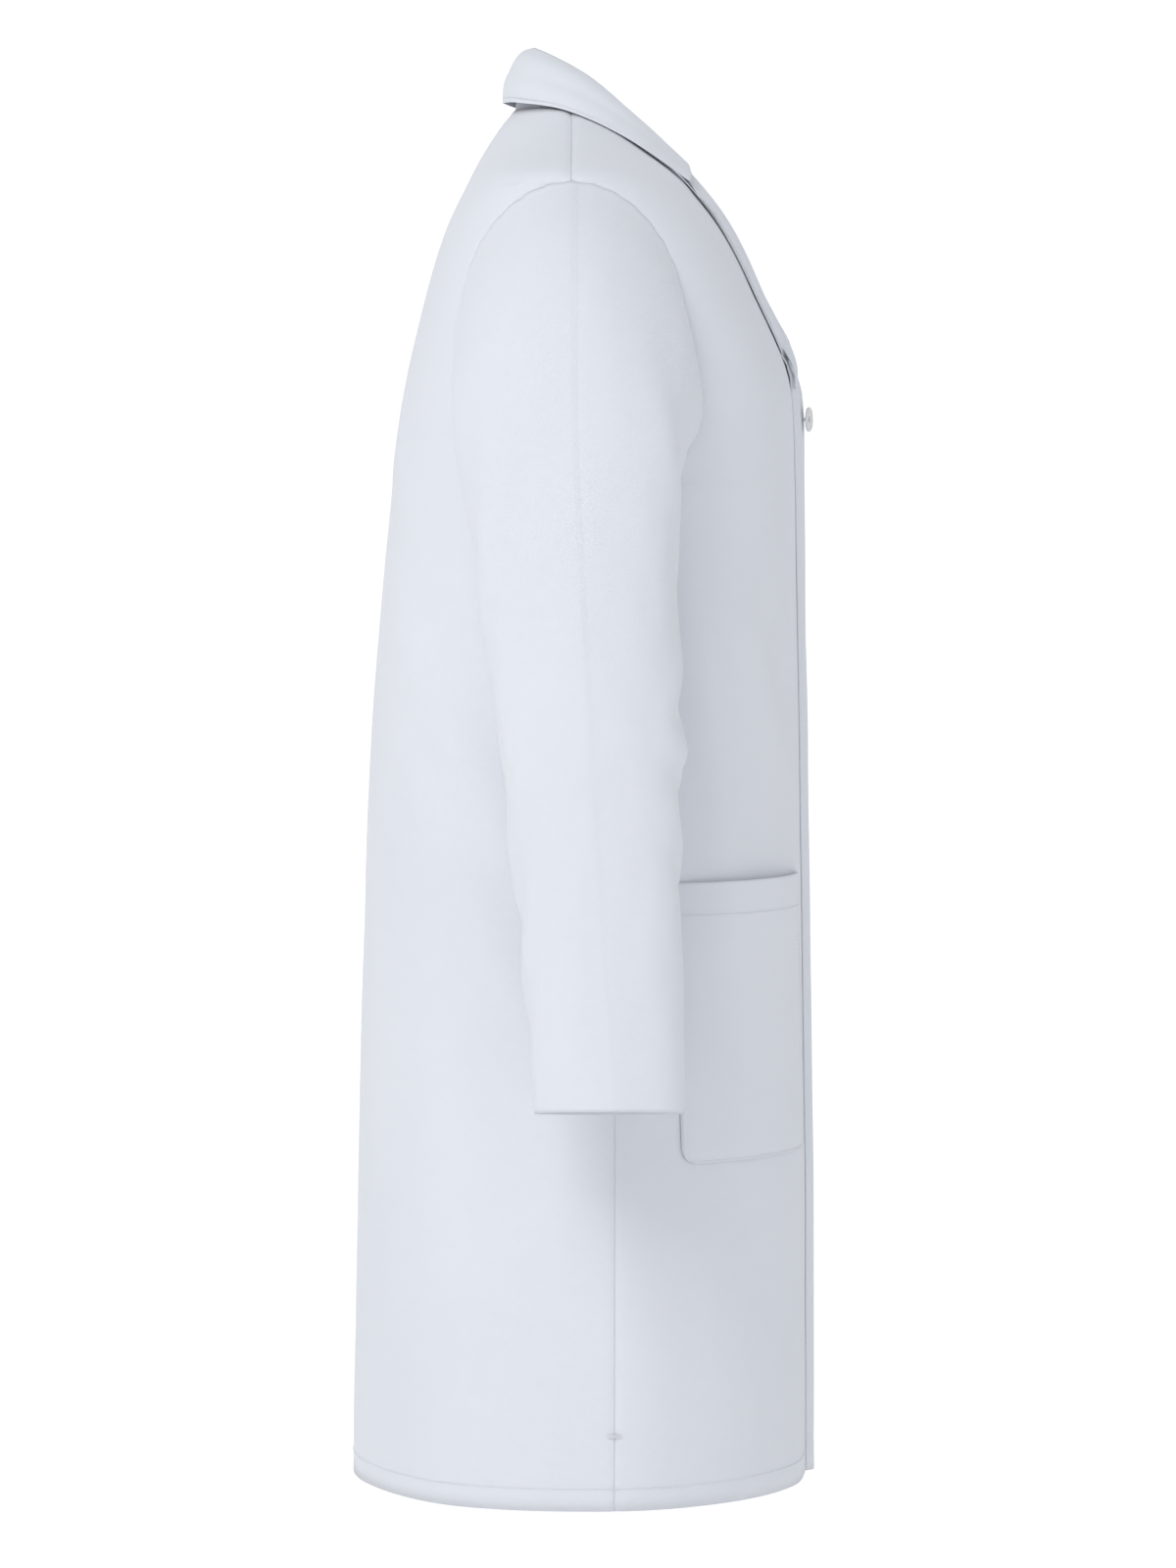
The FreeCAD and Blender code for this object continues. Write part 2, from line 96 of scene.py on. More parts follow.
def monotone(xs, ys, x):
    """A smooth curve through points that never swings past them."""
    steps = np.diff(xs)
    slopes = np.diff(ys) / steps
    tangents = np.concatenate([[slopes[0]], (slopes[1:] + slopes[:-1]) / 2, [slopes[-1]]])
    for i, slope in enumerate(slopes):
        limit = 3 * abs(slope)
        for k in (i, i + 1):
            tangents[k] = max(-limit, min(limit, tangents[k])) if tangents[k] * slope > 0 else 0
    i = int(np.clip(np.searchsorted(xs, x) - 1, 0, len(xs) - 2))
    t = np.clip((x - xs[i]) / steps[i], 0, 1)
    rise = (1 + 2 * t) * (1 - t) ** 2 * ys[i] + t * t * (3 - 2 * t) * ys[i + 1]
    return rise + steps[i] * (t * (1 - t) ** 2 * tangents[i] - t * t * (1 - t) * tangents[i + 1])


TURNS = np.linspace(0, math.pi, 361)
ring_cache = {}


def ring(z):
    """Half of the body's round at a height: x, y and the distance along from the front middle."""
    key = round(z, 6)
    if key not in ring_cache:
        half, front, back, square = (monotone(BODY[:, 0], BODY[:, k], z) for k in range(1, 5))
        depth, middle = (front + back) / 2, (back - front) / 2
        sin, cos = np.sin(TURNS), np.cos(TURNS)
        x = half * np.abs(sin) ** (2 / square)
        y = middle - depth * np.sign(cos) * np.abs(cos) ** (2 / square)
        x[0] = x[-1] = 0
        run = np.concatenate([[0], np.cumsum(np.hypot(np.diff(x), np.diff(y)))])
        ring_cache[key] = (x, y, run)
    return ring_cache[key]


def on_body(z, s):
    """The body's surface at a height and a distance round from the front middle."""
    x, y, run = ring(z)
    return Vector((math.copysign(1, s) * np.interp(abs(s), run, x), np.interp(abs(s), run, y), z))


def half_girth(z):
    return ring(z)[2][-1]


def run_at_y(z, y):
    """How far round the body crosses a plane that faces the front."""
    _, ys, run = ring(z)
    return float(np.interp(y, ys, run))


def run_at_x(z, width):
    """How far round from the front middle the front is so wide."""
    x, _, run = ring(z)
    widest = int(np.argmax(x))
    return math.copysign(float(np.interp(abs(width), x[: widest + 1], run[: widest + 1])), width)


def smooth(value, low, high):
    t = min(1.0, max(0.0, (value - low) / (high - low)))
    return t * t * (3 - 2 * t)


def hump(value, middle, width):
    return math.exp(-(((value - middle) / width) ** 2))


# ------ folds

# Soft folds: start (run, height), end (run, height), width, height off the body; side 0 is both.
FOLDS = [
    (-1, 0.500, -0.300, 0.330, -0.520, 0.022, 0.0060),
    (-1, 0.470, -0.420, 0.320, -0.640, 0.020, 0.0045),
    (-1, 0.540, -0.180, 0.400, -0.330, 0.024, 0.0035),
    (1, 0.480, -0.330, 0.340, -0.560, 0.024, 0.0055),
    (1, 0.440, -0.480, 0.320, -0.700, 0.020, 0.0040),
    (1, 0.560, -0.200, 0.420, -0.360, 0.022, 0.0030),
    (0, 0.230, -0.260, 0.120, -0.420, 0.018, 0.0030),
    (0, 0.250, -0.240, 0.200, -0.520, 0.016, 0.0030),
    (0, 0.300, -0.600, 0.290, -0.940, 0.030, 0.0045),
    (0, 0.430, -0.560, 0.440, -0.940, 0.034, 0.0050),
]
FLUTES = 3.4


def fold_height(side, run, z):
    """How far the cloth stands off the body's plain shape."""
    run = abs(run)
    total = 0.0
    for fold_side, r0, z0, r1, z1, width, rise in FOLDS:
        if fold_side not in (0, side):
            continue
        dr, dz = r1 - r0, z1 - z0
        t = ((run - r0) * dr + (z - z0) * dz) / (dr * dr + dz * dz)
        away = ((run - r0) * dz - (z - z0) * dr) / math.hypot(dr, dz)
        inside = smooth(t, -0.25, 0.2) * (1 - smooth(t, 0.75, 1.2))
        total += rise * inside * (hump(away, 0, width) - 0.45 * hump(away, 1.6 * width, width))
    low = smooth(-z, 0.45, 0.94)
    wave = math.cos(run / 0.52 * math.pi * FLUTES + 0.7 * side)
    total += 0.0030 * low * wave * smooth(run, 0.04, 0.12)
    rough = noise.noise(Vector((run * 7 + 3 * side, z * 4, 1.7 + side)))
    fine = noise.noise(Vector((run * 22 + 5 * side, z * 11, 4.2)))
    return total + (0.0022 * rough + 0.0007 * fine) * smooth(-z, -0.02, 0.12)


def body_point(side, z, s, off=0.0, folds=1.0):
    """A point on the body side's cloth, off by a distance outwards."""
    s_here = side * s
    here = on_body(z, s_here)
    step = 0.002
    across = on_body(z, s_here + step) - on_body(z, s_here - step)
    up = on_body(min(z + step, NECK), s_here) - on_body(z - step, s_here)
    outward = across.cross(up).normalized()
    return here + outward * float(off + folds * fold_height(math.copysign(1, s_here), s, z))


def armhole_middle(z):
    return SIDE_SEAM_Y + (SHOULDER_SEAM_Y - SIDE_SEAM_Y) * smooth(z, UNDERARM, -0.10)


def armhole_reach(z):
    middle, half = (UNDERARM + SHOULDER_TIP) / 2, (SHOULDER_TIP - UNDERARM) / 2
    return ARMHOLE_WIDTH * math.sqrt(max(0.0, 1 - ((z - middle) / half) ** 2))


def seam_y(z, towards):
    """Where a panel ends: the side seam, the armhole (front -1, back 1) or the shoulder seam."""
    if z <= UNDERARM:
        return SIDE_SEAM_Y
    if z >= SHOULDER_TIP:
        return SHOULDER_SEAM_Y
    return armhole_middle(z) + towards * armhole_reach(z)


def roll_x(z):
    """The front edge: straight up to the break, then out along the roll of the lapel."""
    share = min(1.0, max(0.0, (z - BREAK) / (NECK - 0.006 - BREAK)))
    return -OVERLAP + (NECK_OPEN + OVERLAP) * share


def heights(low, high, extra=()):
    """Rows of a panel: even below the arm, closing up round the armhole, fine on the shoulder."""
    rows = list(np.arange(HEM, UNDERARM, 0.011))
    middle, half = (UNDERARM + SHOULDER_TIP) / 2, (SHOULDER_TIP - UNDERARM) / 2
    rows += [middle - half * math.cos(math.pi * i / 34) for i in range(35)]
    rows += list(np.linspace(SHOULDER_TIP, NECK, 14)[1:])
    kept = [z for z in rows if low + 0.001 < z < high - 0.001]
    kept = [z for z in kept if all(abs(z - e) > 0.0012 for e in extra)]
    return sorted([low, high, *kept, *extra])


EDGE_STEPS = (0.0, 0.0012, 0.003, 0.006)


def columns(start, end, count):
    """Even places from one edge to the other, closer together at both edges."""
    width = end - start
    middle = np.linspace(start + 0.010, end - 0.010, count)
    if width <= 0.04:
        return np.linspace(start, end, count + 2 * len(EDGE_STEPS))
    steps = np.array(EDGE_STEPS)
    return np.concatenate([start + steps, middle, end - steps[::-1]])


# ------ making meshes

def mesh_object(name, vertices, faces, uvs=None):
    mesh = bpy.data.meshes.new(name)
    mesh.from_pydata([tuple(v) for v in vertices], [], faces)
    layer = mesh.uv_layers.new(name="cloth")
    if uvs is not None:
        for loop in mesh.loops:
            layer.data[loop.index].uv = uvs[loop.vertex_index]
    obj = bpy.data.objects.new(name, mesh)
    bpy.context.collection.objects.link(obj)
    for polygon in mesh.polygons:
        polygon.use_smooth = True
    mesh.update()
    return obj


def grid(name, rows, closed=False, hole=None, flip=False):
    """A sheet from rows of (point, across, up) entries, all of one length."""
    count = len(rows[0])
    vertices = [entry[0] for row in rows for entry in row]
    uvs = [(entry[1], entry[2]) for row in rows for entry in row]
    faces = []
    for j in range(len(rows) - 1):
        for i in range(count if closed else count - 1):
            a, b = j * count + i, j * count + (i + 1) % count
            face = (a, b, b + count, a + count)
            if hole and hole(sum((vertices[k] for k in face), Vector()) / 4):
                continue
            faces.append(face[::-1] if flip else face)
    return mesh_object(name, vertices, faces, uvs)


def settle(obj):
    """Turn an object's modifiers into its own mesh."""
    bpy.context.view_layer.update()
    evaluated = obj.evaluated_get(bpy.context.evaluated_depsgraph_get())
    mesh = bpy.data.meshes.new_from_object(evaluated)
    obj.modifiers.clear()
    obj.data = mesh
    return obj


def thicken(obj, ply=PLY, rim=True):
    modifier = obj.modifiers.new("ply", "SOLIDIFY")
    modifier.thickness = ply
    modifier.offset = -1
    modifier.use_even_offset = False
    modifier.use_rim = rim
    return settle(obj)


def sheet_piece(obj, material, ply=PLY):
    thicken(obj, ply)
    obj.data.materials.clear()
    obj.data.materials.append(material)
    return obj


# ------ materials

def node_group(name, inputs, outputs):
    group = bpy.data.node_groups.new(name, "ShaderNodeTree")
    for label, kind, value in inputs:
        socket = group.interface.new_socket(label, in_out="INPUT", socket_type=kind)
        if value is not None:
            socket.default_value = value
    for label, kind in outputs:
        group.interface.new_socket(label, in_out="OUTPUT", socket_type=kind)
    return group, group.nodes.new("NodeGroupInput"), group.nodes.new("NodeGroupOutput")


def weave_group():
    """Twill: fine slanted ribs with uneven threads, a faint random change of tone, and painted
    shade in the grooves between the ribs.
    """
    group, given, result = node_group(
        "twill",
        [("Vector", "NodeSocketVector", None), ("Ribs per metre", "NodeSocketFloat", 900.0),
         ("Tone", "NodeSocketColor", (0.8, 0.82, 0.86, 1)),
         ("Shade", "NodeSocketColor", (0.7, 0.73, 0.79, 1))],
        [("Color", "NodeSocketColor"), ("Height", "NodeSocketFloat"), ("Rough", "NodeSocketFloat")],
    )
    nodes, links = group.nodes, group.links
    scale = nodes.new("ShaderNodeVectorMath")
    scale.operation = "SCALE"
    links.new(given.outputs["Vector"], scale.inputs[0])
    links.new(given.outputs["Ribs per metre"], scale.inputs["Scale"])
    ribs = nodes.new("ShaderNodeTexWave")
    ribs.wave_type = "BANDS"
    ribs.bands_direction = "DIAGONAL"
    ribs.inputs["Scale"].default_value = 0.5
    ribs.inputs["Distortion"].default_value = 0.6
    ribs.inputs["Detail"].default_value = 1.0
    links.new(scale.outputs[0], ribs.inputs["Vector"])
    threads = nodes.new("ShaderNodeTexNoise")
    threads.inputs["Scale"].default_value = 260.0
    threads.inputs["Detail"].default_value = 3.0
    links.new(given.outputs["Vector"], threads.inputs["Vector"])
    broad = nodes.new("ShaderNodeTexNoise")
    broad.inputs["Scale"].default_value = 5.0
    broad.inputs["Detail"].default_value = 4.0
    links.new(given.outputs["Vector"], broad.inputs["Vector"])
    height = nodes.new("ShaderNodeMath")
    height.operation = "MULTIPLY_ADD"
    links.new(threads.outputs["Fac"], height.inputs[0])
    height.inputs[1].default_value = 0.6
    links.new(ribs.outputs["Fac"], height.inputs[2])
    links.new(height.outputs[0], result.inputs["Height"])
    tone = nodes.new("ShaderNodeMapRange")
    tone.inputs["From Min"].default_value = 0.35
    tone.inputs["From Max"].default_value = 0.68
    links.new(broad.outputs["Fac"], tone.inputs["Value"])
    # Painted shade: the ribs darken the colour in their grooves, and the broad noise adds random
    # tone on top.
    part = nodes.new("ShaderNodeMath")
    part.operation = "MULTIPLY_ADD"
    links.new(ribs.outputs["Fac"], part.inputs[0])
    part.inputs[1].default_value = -0.14
    half = nodes.new("ShaderNodeMath")
    half.operation = "MULTIPLY_ADD"
    links.new(tone.outputs[0], half.inputs[0])
    half.inputs[1].default_value = 0.35
    half.inputs[2].default_value = 0.14
    links.new(half.outputs[0], part.inputs[2])
    mix = nodes.new("ShaderNodeMix")
    mix.data_type = "RGBA"
    links.new(part.outputs[0], mix.inputs["Factor"])
    links.new(given.outputs["Tone"], mix.inputs["A"])
    links.new(given.outputs["Shade"], mix.inputs["B"])
    links.new(mix.outputs["Result"], result.inputs["Color"])
    rough = nodes.new("ShaderNodeMapRange")
    rough.inputs["To Min"].default_value = 0.78
    rough.inputs["To Max"].default_value = 0.92
    links.new(threads.outputs["Fac"], rough.inputs["Value"])
    links.new(rough.outputs[0], result.inputs["Rough"])
    return group


TWILL = weave_group()


def new_material(name):
    material = bpy.data.materials.new(name)
    material.use_nodes = True
    nodes = material.node_tree.nodes
    return material, nodes, material.node_tree.links, nodes["Principled BSDF"]


def cotton(name, tone, shade, ribs=900.0, bump=0.25):
    material, nodes, links, shader = new_material(name)
    where = nodes.new("ShaderNodeUVMap")
    where.uv_map = "cloth"
    twill = nodes.new("ShaderNodeGroup")
    twill.node_tree = TWILL
    twill.inputs["Ribs per metre"].default_value = ribs
    twill.inputs["Tone"].default_value = (*tone, 1)
    twill.inputs["Shade"].default_value = (*shade, 1)
    links.new(where.outputs[0], twill.inputs["Vector"])
    links.new(twill.outputs["Color"], shader.inputs["Base Color"])
    links.new(twill.outputs["Rough"], shader.inputs["Roughness"])
    relief = nodes.new("ShaderNodeBump")
    relief.inputs["Strength"].default_value = bump
    relief.inputs["Distance"].default_value = 0.0003
    links.new(twill.outputs["Height"], relief.inputs["Height"])
    links.new(relief.outputs[0], shader.inputs["Normal"])
    shader.inputs["Sheen Weight"].default_value = 0.25
    shader.inputs["Sheen Roughness"].default_value = 0.6
    shader.inputs["Specular IOR Level"].default_value = 0.25
    return material


CLOTH = cotton("white_cotton_twill", (0.80, 0.82, 0.865), (0.73, 0.755, 0.81))
# Painted shade: a darker copy of the white cotton for the pieces that lie inside or under other
# cloth.
TURNED_CLOTH_PAINTED_SHADE = cotton("white_cotton_inside_painted_shade", (0.76, 0.78, 0.83), (0.68, 0.70, 0.76))
TAPE = cotton("white_cotton_tape", (0.79, 0.80, 0.83), (0.66, 0.69, 0.74), ribs=1500.0, bump=0.5)


def thread_material():
    material, nodes, links, shader = new_material("white_thread")
    where = nodes.new("ShaderNodeTexCoord")
    strands = nodes.new("ShaderNodeTexNoise")
    strands.inputs["Scale"].default_value = 900.0
    links.new(where.outputs["Object"], strands.inputs["Vector"])
    tone = nodes.new("ShaderNodeMix")
    tone.data_type = "RGBA"
    tone.inputs["A"].default_value = (0.70, 0.72, 0.77, 1)
    tone.inputs["B"].default_value = (0.84, 0.85, 0.88, 1)
    links.new(strands.outputs["Fac"], tone.inputs["Factor"])
    links.new(tone.outputs["Result"], shader.inputs["Base Color"])
    shader.inputs["Roughness"].default_value = 0.6
    return material


def button_material():
    material, nodes, links, shader = new_material("white_button_plastic")
    where = nodes.new("ShaderNodeTexCoord")
    cloud = nodes.new("ShaderNodeTexNoise")
    cloud.inputs["Scale"].default_value = 120.0
    cloud.inputs["Detail"].default_value = 4.0
    links.new(where.outputs["Object"], cloud.inputs["Vector"])
    tone = nodes.new("ShaderNodeMix")
    tone.data_type = "RGBA"
    tone.inputs["A"].default_value = (0.74, 0.74, 0.74, 1)
    tone.inputs["B"].default_value = (0.86, 0.86, 0.85, 1)
    links.new(cloud.outputs["Fac"], tone.inputs["Factor"])
    links.new(tone.outputs["Result"], shader.inputs["Base Color"])
    gloss = nodes.new("ShaderNodeMapRange")
    gloss.inputs["To Min"].default_value = 0.22
    gloss.inputs["To Max"].default_value = 0.4
    links.new(cloud.outputs["Fac"], gloss.inputs["Value"])
    links.new(gloss.outputs[0], shader.inputs["Roughness"])
    shader.inputs["Coat Weight"].default_value = 0.3
    return material


THREAD = thread_material()
BUTTON = button_material()


# ------ body panels


def swing_with_front(obj):
    """Bakes the piece's placement into its mesh and leaves it unattached."""
    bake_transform(obj)


def body_rows(side, low, high, near, far, off=0.0, count=30, folds=1.0, extra=(), dip=True):
    """Rows of points of a panel on one side, from a near to a far edge, both runs by height."""
    rows = []
    for z in heights(low, high, extra):
        start, end = near(z), far(z)
        row = []
        for run in columns(start, end, count):
            edge = min(run - start, end - run) if dip else 1.0
            sink = SEAM_DIP * hump(edge, 0, SEAM_DIP_WIDTH)
            stand = off(z, run) if callable(off) else off
            row.append((body_point(side, z, run, stand - sink, folds), side * run, z))
        rows.append(row)
    return rows


SEAM_ROWS = (UNDERARM, SHOULDER_TIP)


def front_near(z):
    return run_at_x(z, roll_x(z)) if roll_x(z) > 0 else roll_x(z)


def front_far(z):
    return run_at_y(z, seam_y(z, -1))


def cover_step(z, run):
    """The left front covers the right one: low at its edge, over the buttons, then down."""
    over = EDGE_RISE + (COVER_RISE - EDGE_RISE) * smooth(run, -OVERLAP, -OVERLAP + 0.010)
    return over * (1 - smooth(run, OVERLAP + 0.004, OVERLAP + 0.024)) * \
        (1 - smooth(z, BREAK - 0.004, BREAK + 0.05))


def make_back():
    rows = []
    for z in heights(HEM, NECK, SEAM_ROWS):
        edge = run_at_y(z, seam_y(z, 1))
        middle = half_girth(z)
        row = []
        for side in (-1, 1):
            runs = [edge + e for e in EDGE_STEPS] + list(np.linspace(edge + 0.010, middle, 34))
            half = []
            for run in runs:
                sink = SEAM_DIP * hump(run - edge, 0, SEAM_DIP_WIDTH)
                here = body_point(side, z, run, -sink)
                half.append((here, side * (run - middle), z))
            row.append(half)
        right, left = row
        join = (right[-1][0] + left[-1][0]) / 2
        rows.append(right[:-1] + [(join, 0.0, z)] + left[-2::-1])
    back = grid("back", rows, flip=True)
    sheet_piece(back, CLOTH)
    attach(back, "coat_body")
    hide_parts("back_panel")
    return back


def make_front(name, side):
    off = cover_step if side > 0 else 0.0
    rows = body_rows(side, HEM, NECK, front_near, front_far, off, 30, 1.0, (*SEAM_ROWS, BREAK))
    front = grid(f"{name}_front_panel", rows, flip=side < 0)
    sheet_piece(front, CLOTH)
    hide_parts(f"{name}_front_chest", f"{name}_front_skirt")
    swing_with_front(front)
    return front


make_back()
for side_name, side_sign in SIDES.items():
    make_front(side_name, side_sign)


# ------ turned hems and facings

def make_band(label, node, side, low, high, near, far, off, body, count=26):
    rows = body_rows(side, low, high, near, far, off, count, dip=False)
    piece = grid(label, rows, flip=side < 0)
    sheet_piece(piece, TURNED_CLOTH_PAINTED_SHADE)
    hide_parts(node)
    if body.endswith("_front"):
        swing_with_front(piece)
    else:
        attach(piece, body)
    return piece


LINING_HALF = 0.095
LINING_WIDTH = 0.050


def make_hems():
    """Hems turned up inside, the back neck's lining and the one behind the buttons."""
    for name, side in SIDES.items():
        start = OVERLAP + 0.030 if side > 0 else -OVERLAP
        make_band(f"{name}_front_turned_hem", f"{name}_front_hem", side, HEM + 0.0005,
                  HEM + HEM_WIDTH, lambda z: start, front_far, INSIDE, f"{name}_front")
    rows = []
    for z in heights(HEM + 0.0005, HEM + HEM_WIDTH):
        edge, middle = run_at_y(z, SIDE_SEAM_Y), half_girth(z)
        runs = np.linspace(edge + 0.001, middle, 40)
        right = [(body_point(-1, z, r, INSIDE), middle - r, z) for r in runs]
        left = [(body_point(1, z, r, INSIDE), r - middle, z) for r in runs]
        rows.append(right[:-1] + left[::-1])
    hem = grid("back_turned_hem", rows, flip=True)
    sheet_piece(hem, TURNED_CLOTH_PAINTED_SHADE)
    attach(hem, "coat_body")
    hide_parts("back_hem")
    rows = []
    for z in heights(-0.030, NECK - 0.001):
        middle = half_girth(z)
        reach = min(LINING_HALF, middle - run_at_y(z, 0.020))
        reach *= math.sqrt(max(0.03, smooth(z, -0.034, 0.02)))
        runs = np.linspace(middle - reach, middle, 16)
        right = [(body_point(-1, z, r, INSIDE), middle - r, z) for r in runs]
        left = [(body_point(1, z, r, INSIDE), r - middle, z) for r in runs]
        rows.append(right[:-1] + left[::-1])
    neck_facing = grid("back_neck_lining", rows, flip=True)
    sheet_piece(neck_facing, TURNED_CLOTH_PAINTED_SHADE)
    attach(neck_facing, "coat_body")
    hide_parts("back_neck_facing")
    make_band("right_front_lining", "right_front_facing", -1, HEM + HEM_WIDTH + 0.001, -0.200,
              lambda z: -OVERLAP, lambda z: LINING_WIDTH, INSIDE - 0.0012, "right_front", 10)


make_hems()


# ------ fly and buttons

HOLE_HALF = 0.011
HOLE_TALL = 0.0022


def in_buttonhole(p):
    return abs(p.x) < HOLE_HALF and any(abs(p.z - z) < HOLE_TALL for z in FLY_BUTTON_ZS)


def make_fly():
    extra = [z + d for z in FLY_BUTTON_ZS for d in (-0.002, 0.002)]
    rows = body_rows(1, HEM + HEM_WIDTH + 0.001, -0.236, lambda z: -OVERLAP + 0.010,
                     lambda z: OVERLAP + 0.012, 0.0022, 20, extra=tuple(extra), dip=False)
    fly = grid("fly_placket", rows, hole=in_buttonhole)
    sheet_piece(fly, TURNED_CLOTH_PAINTED_SHADE)
    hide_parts("fly_strip")
    swing_with_front(fly)


make_fly()

BUTTON_RADIUS = 0.009
BUTTON_PLY = 0.0026
BUTTON_PROFILE = [(0.0, 0.55), (0.50, 0.55), (0.62, 0.62), (0.74, 0.95), (0.90, 1.0), (0.98, 0.8),
                  (1.0, 0.5), (0.95, 0.15), (0.80, 0.0), (0.0, 0.0)]
BUTTON_HOLES = 4
HOLE_SPREAD = 0.0021
HOLE_RADIUS = 0.0009


def button_mesh(name, places, turn=0.0):
    """Round four-hole buttons facing the front, one at each place."""
    vertices, faces, segments = [], [], 48
    for place in places:
        base = len(vertices)
        for share, height in BUTTON_PROFILE:
            for i in range(segments):
                a = 2 * math.pi * i / segments
                r = max(share * BUTTON_RADIUS, 1e-5)
                local = Vector((r * math.cos(a), -height * BUTTON_PLY, r * math.sin(a)))
                local.rotate(Euler((0, 0, turn)))
                vertices.append(place + local)
        for j in range(len(BUTTON_PROFILE) - 1):
            for i in range(segments):
                a, b = base + j * segments + i, base + j * segments + (i + 1) % segments
                faces.append((a, b, b + segments, a + segments))
    obj = mesh_object(name, vertices, faces)
    merge = obj.modifiers.new("merge", "WELD")
    merge.merge_threshold = 0.00005
    settle(obj)
    for place in places:
        for i in range(BUTTON_HOLES):
            a = math.pi / 4 + math.pi / 2 * i
            bpy.ops.mesh.primitive_cylinder_add(
                vertices=20, radius=HOLE_RADIUS, depth=0.02, rotation=(math.pi / 2, 0, 0),
                location=place + Vector((HOLE_SPREAD * math.cos(a), 0, HOLE_SPREAD * math.sin(a))))
            drill = bpy.context.object
            bore = obj.modifiers.new("bore", "BOOLEAN")
            bore.operation = "DIFFERENCE"
            bore.object = drill
            settle(obj)
            bpy.data.objects.remove(drill)
    obj.data.materials.clear()
    obj.data.materials.append(BUTTON)
    for polygon in obj.data.polygons:
        polygon.use_smooth = True
    obj.data.set_sharp_from_angle(angle=math.radians(40))
    return obj


def thread_mesh(name, places, foot, turn=0.0):
    """Wound thread under each button and a cross of thread through its holes."""
    vertices, faces, around = [], [], 10

    def tube(points, radius):
        base = len(vertices)
        for k, p in enumerate(points):
            ahead = points[min(k + 1, len(points) - 1)] - points[max(k - 1, 0)]
            side = ahead.orthogonal().normalized()
            other = ahead.normalized().cross(side)
            for i in range(around):
                a = 2 * math.pi * i / around
                vertices.append(p + (side * math.cos(a) + other * math.sin(a)) * radius)
        for k in range(len(points) - 1):
            for i in range(around):
                a, b = base + k * around + i, base + k * around + (i + 1) % around
                faces.append((a, b, b + around, a + around))
        faces.append(tuple(range(base, base + around))[::-1])
        last = base + (len(points) - 1) * around
        faces.append(tuple(range(last, last + around)))

    for place in places:
        tube([place + Vector((0, foot * (1 - t), 0)) for t in np.linspace(0, 1, 8)], 0.0011)
        for strand in range(2):
            a = math.pi / 4 + math.pi / 2 * strand
            for shift in (-0.00028, 0.00028):
                points = []
                for t in np.linspace(-1, 1, 9):
                    r = HOLE_SPREAD * t
                    arch = -BUTTON_PLY * 0.56 - 0.0005 * (1 - t ** 4)
                    if abs(t) == 1:
                        arch = -BUTTON_PLY * 0.2
                    p = Vector((r * math.cos(a) - shift * math.sin(a), arch,
                                r * math.sin(a) + shift * math.cos(a)))
                    p.rotate(Euler((0, 0, turn)))
                    points.append(place + p)
                tube(points, 0.0003)
    obj = mesh_object(name, vertices, faces)
    obj.data.materials.append(THREAD)
    return obj


def make_buttons():
    top = body_point(-1, TOP_BUTTON_Z, 0, COVER_RISE + 0.0022)
    button = button_mesh("collar_button", [top], turn=-0.25)
    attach(button, "coat_body")
    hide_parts("top_button")
    thread = thread_mesh("collar_button_thread", [top], COVER_RISE + 0.004, turn=-0.25)
    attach(thread, "coat_body")
    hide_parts("top_button_thread")
    places = [body_point(-1, z, 0, 0.0026) for z in FLY_BUTTON_ZS]
    hidden = button_mesh("hidden_buttons", places)
    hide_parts("fly_buttons")
    swing_with_front(hidden)
    threads = thread_mesh("hidden_button_threads", places, 0.004)
    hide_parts("fly_button_threads")
    swing_with_front(threads)


make_buttons()


# ------ sleeves

# Places down the sleeve: share of its length, reach out, middle, height, half widths, lean.
SLEEVE = np.array([
    (0.00, 0.224, 0.0115, -0.126, 0.1050, 0.0795, 90),
    (0.09, 0.262, 0.0120, -0.158, 0.0720, 0.0790, 60),
    (0.19, 0.2775, 0.0110, -0.212, 0.0590, 0.0765, 28),
    (0.34, 0.290, 0.0060, -0.300, 0.0500, 0.0700, 7),
    (0.66, 0.306, -0.0040, -0.470, 0.0430, 0.0600, 5),
    (1.00, 0.325, -0.0160, -0.658, 0.0375, 0.0540, 6),
])
SLEEVE_LENGTH = 0.57
# Creases: share down and turn in degrees at each end, width and height.
CREASES = [
    (0.30, 215, 0.50, 300, 0.013, 0.0034),
    (0.46, 200, 0.56, 290, 0.011, 0.0038),
    (0.62, 205, 0.54, 300, 0.012, 0.0036),
    (0.74, 215, 0.64, 300, 0.014, 0.0028),
    (0.10, 60, 0.34, 130, 0.018, 0.0036),
    (0.16, 30, 0.42, 100, 0.018, 0.0030),
    (0.14, 320, 0.34, 250, 0.016, 0.0030),
    (0.78, 60, 0.92, 140, 0.016, 0.0026),
    (0.60, 40, 0.76, 130, 0.018, 0.0030),
]


def crease_height(side, share, turn):
    total = 0.0
    for t0, a0, t1, a1, width, rise in CREASES:
        down, round_ = SLEEVE_LENGTH, 0.06 * math.pi / 180
        d = Vector(((t1 - t0) * down, (a1 - a0) * round_))
        here = Vector(((share - t0) * down, (turn - a0 - 6 * (side > 0)) * round_))
        t = here.dot(d) / d.length_squared
        away = (here.x * d.y - here.y * d.x) / d.length
        inside = smooth(t, -0.25, 0.25) * (1 - smooth(t, 0.75, 1.25))
        total += rise * inside * (hump(away, 0, width) - 0.5 * hump(away, 1.5 * width, width))
    a = math.radians(turn)
    rough = noise.noise(Vector((math.cos(a) * 1.4 + side, math.sin(a) * 1.4, share * 4.5)))
    fine = noise.noise(Vector((math.cos(a) * 4, math.sin(a) * 4 + side, share * 14)))
    gathers = 0.0005 * math.cos(a * 34) * math.exp(-share / 0.035)
    return (total + 0.0028 * rough + 0.0008 * fine) * smooth(share, 0.0, 0.10) + gathers


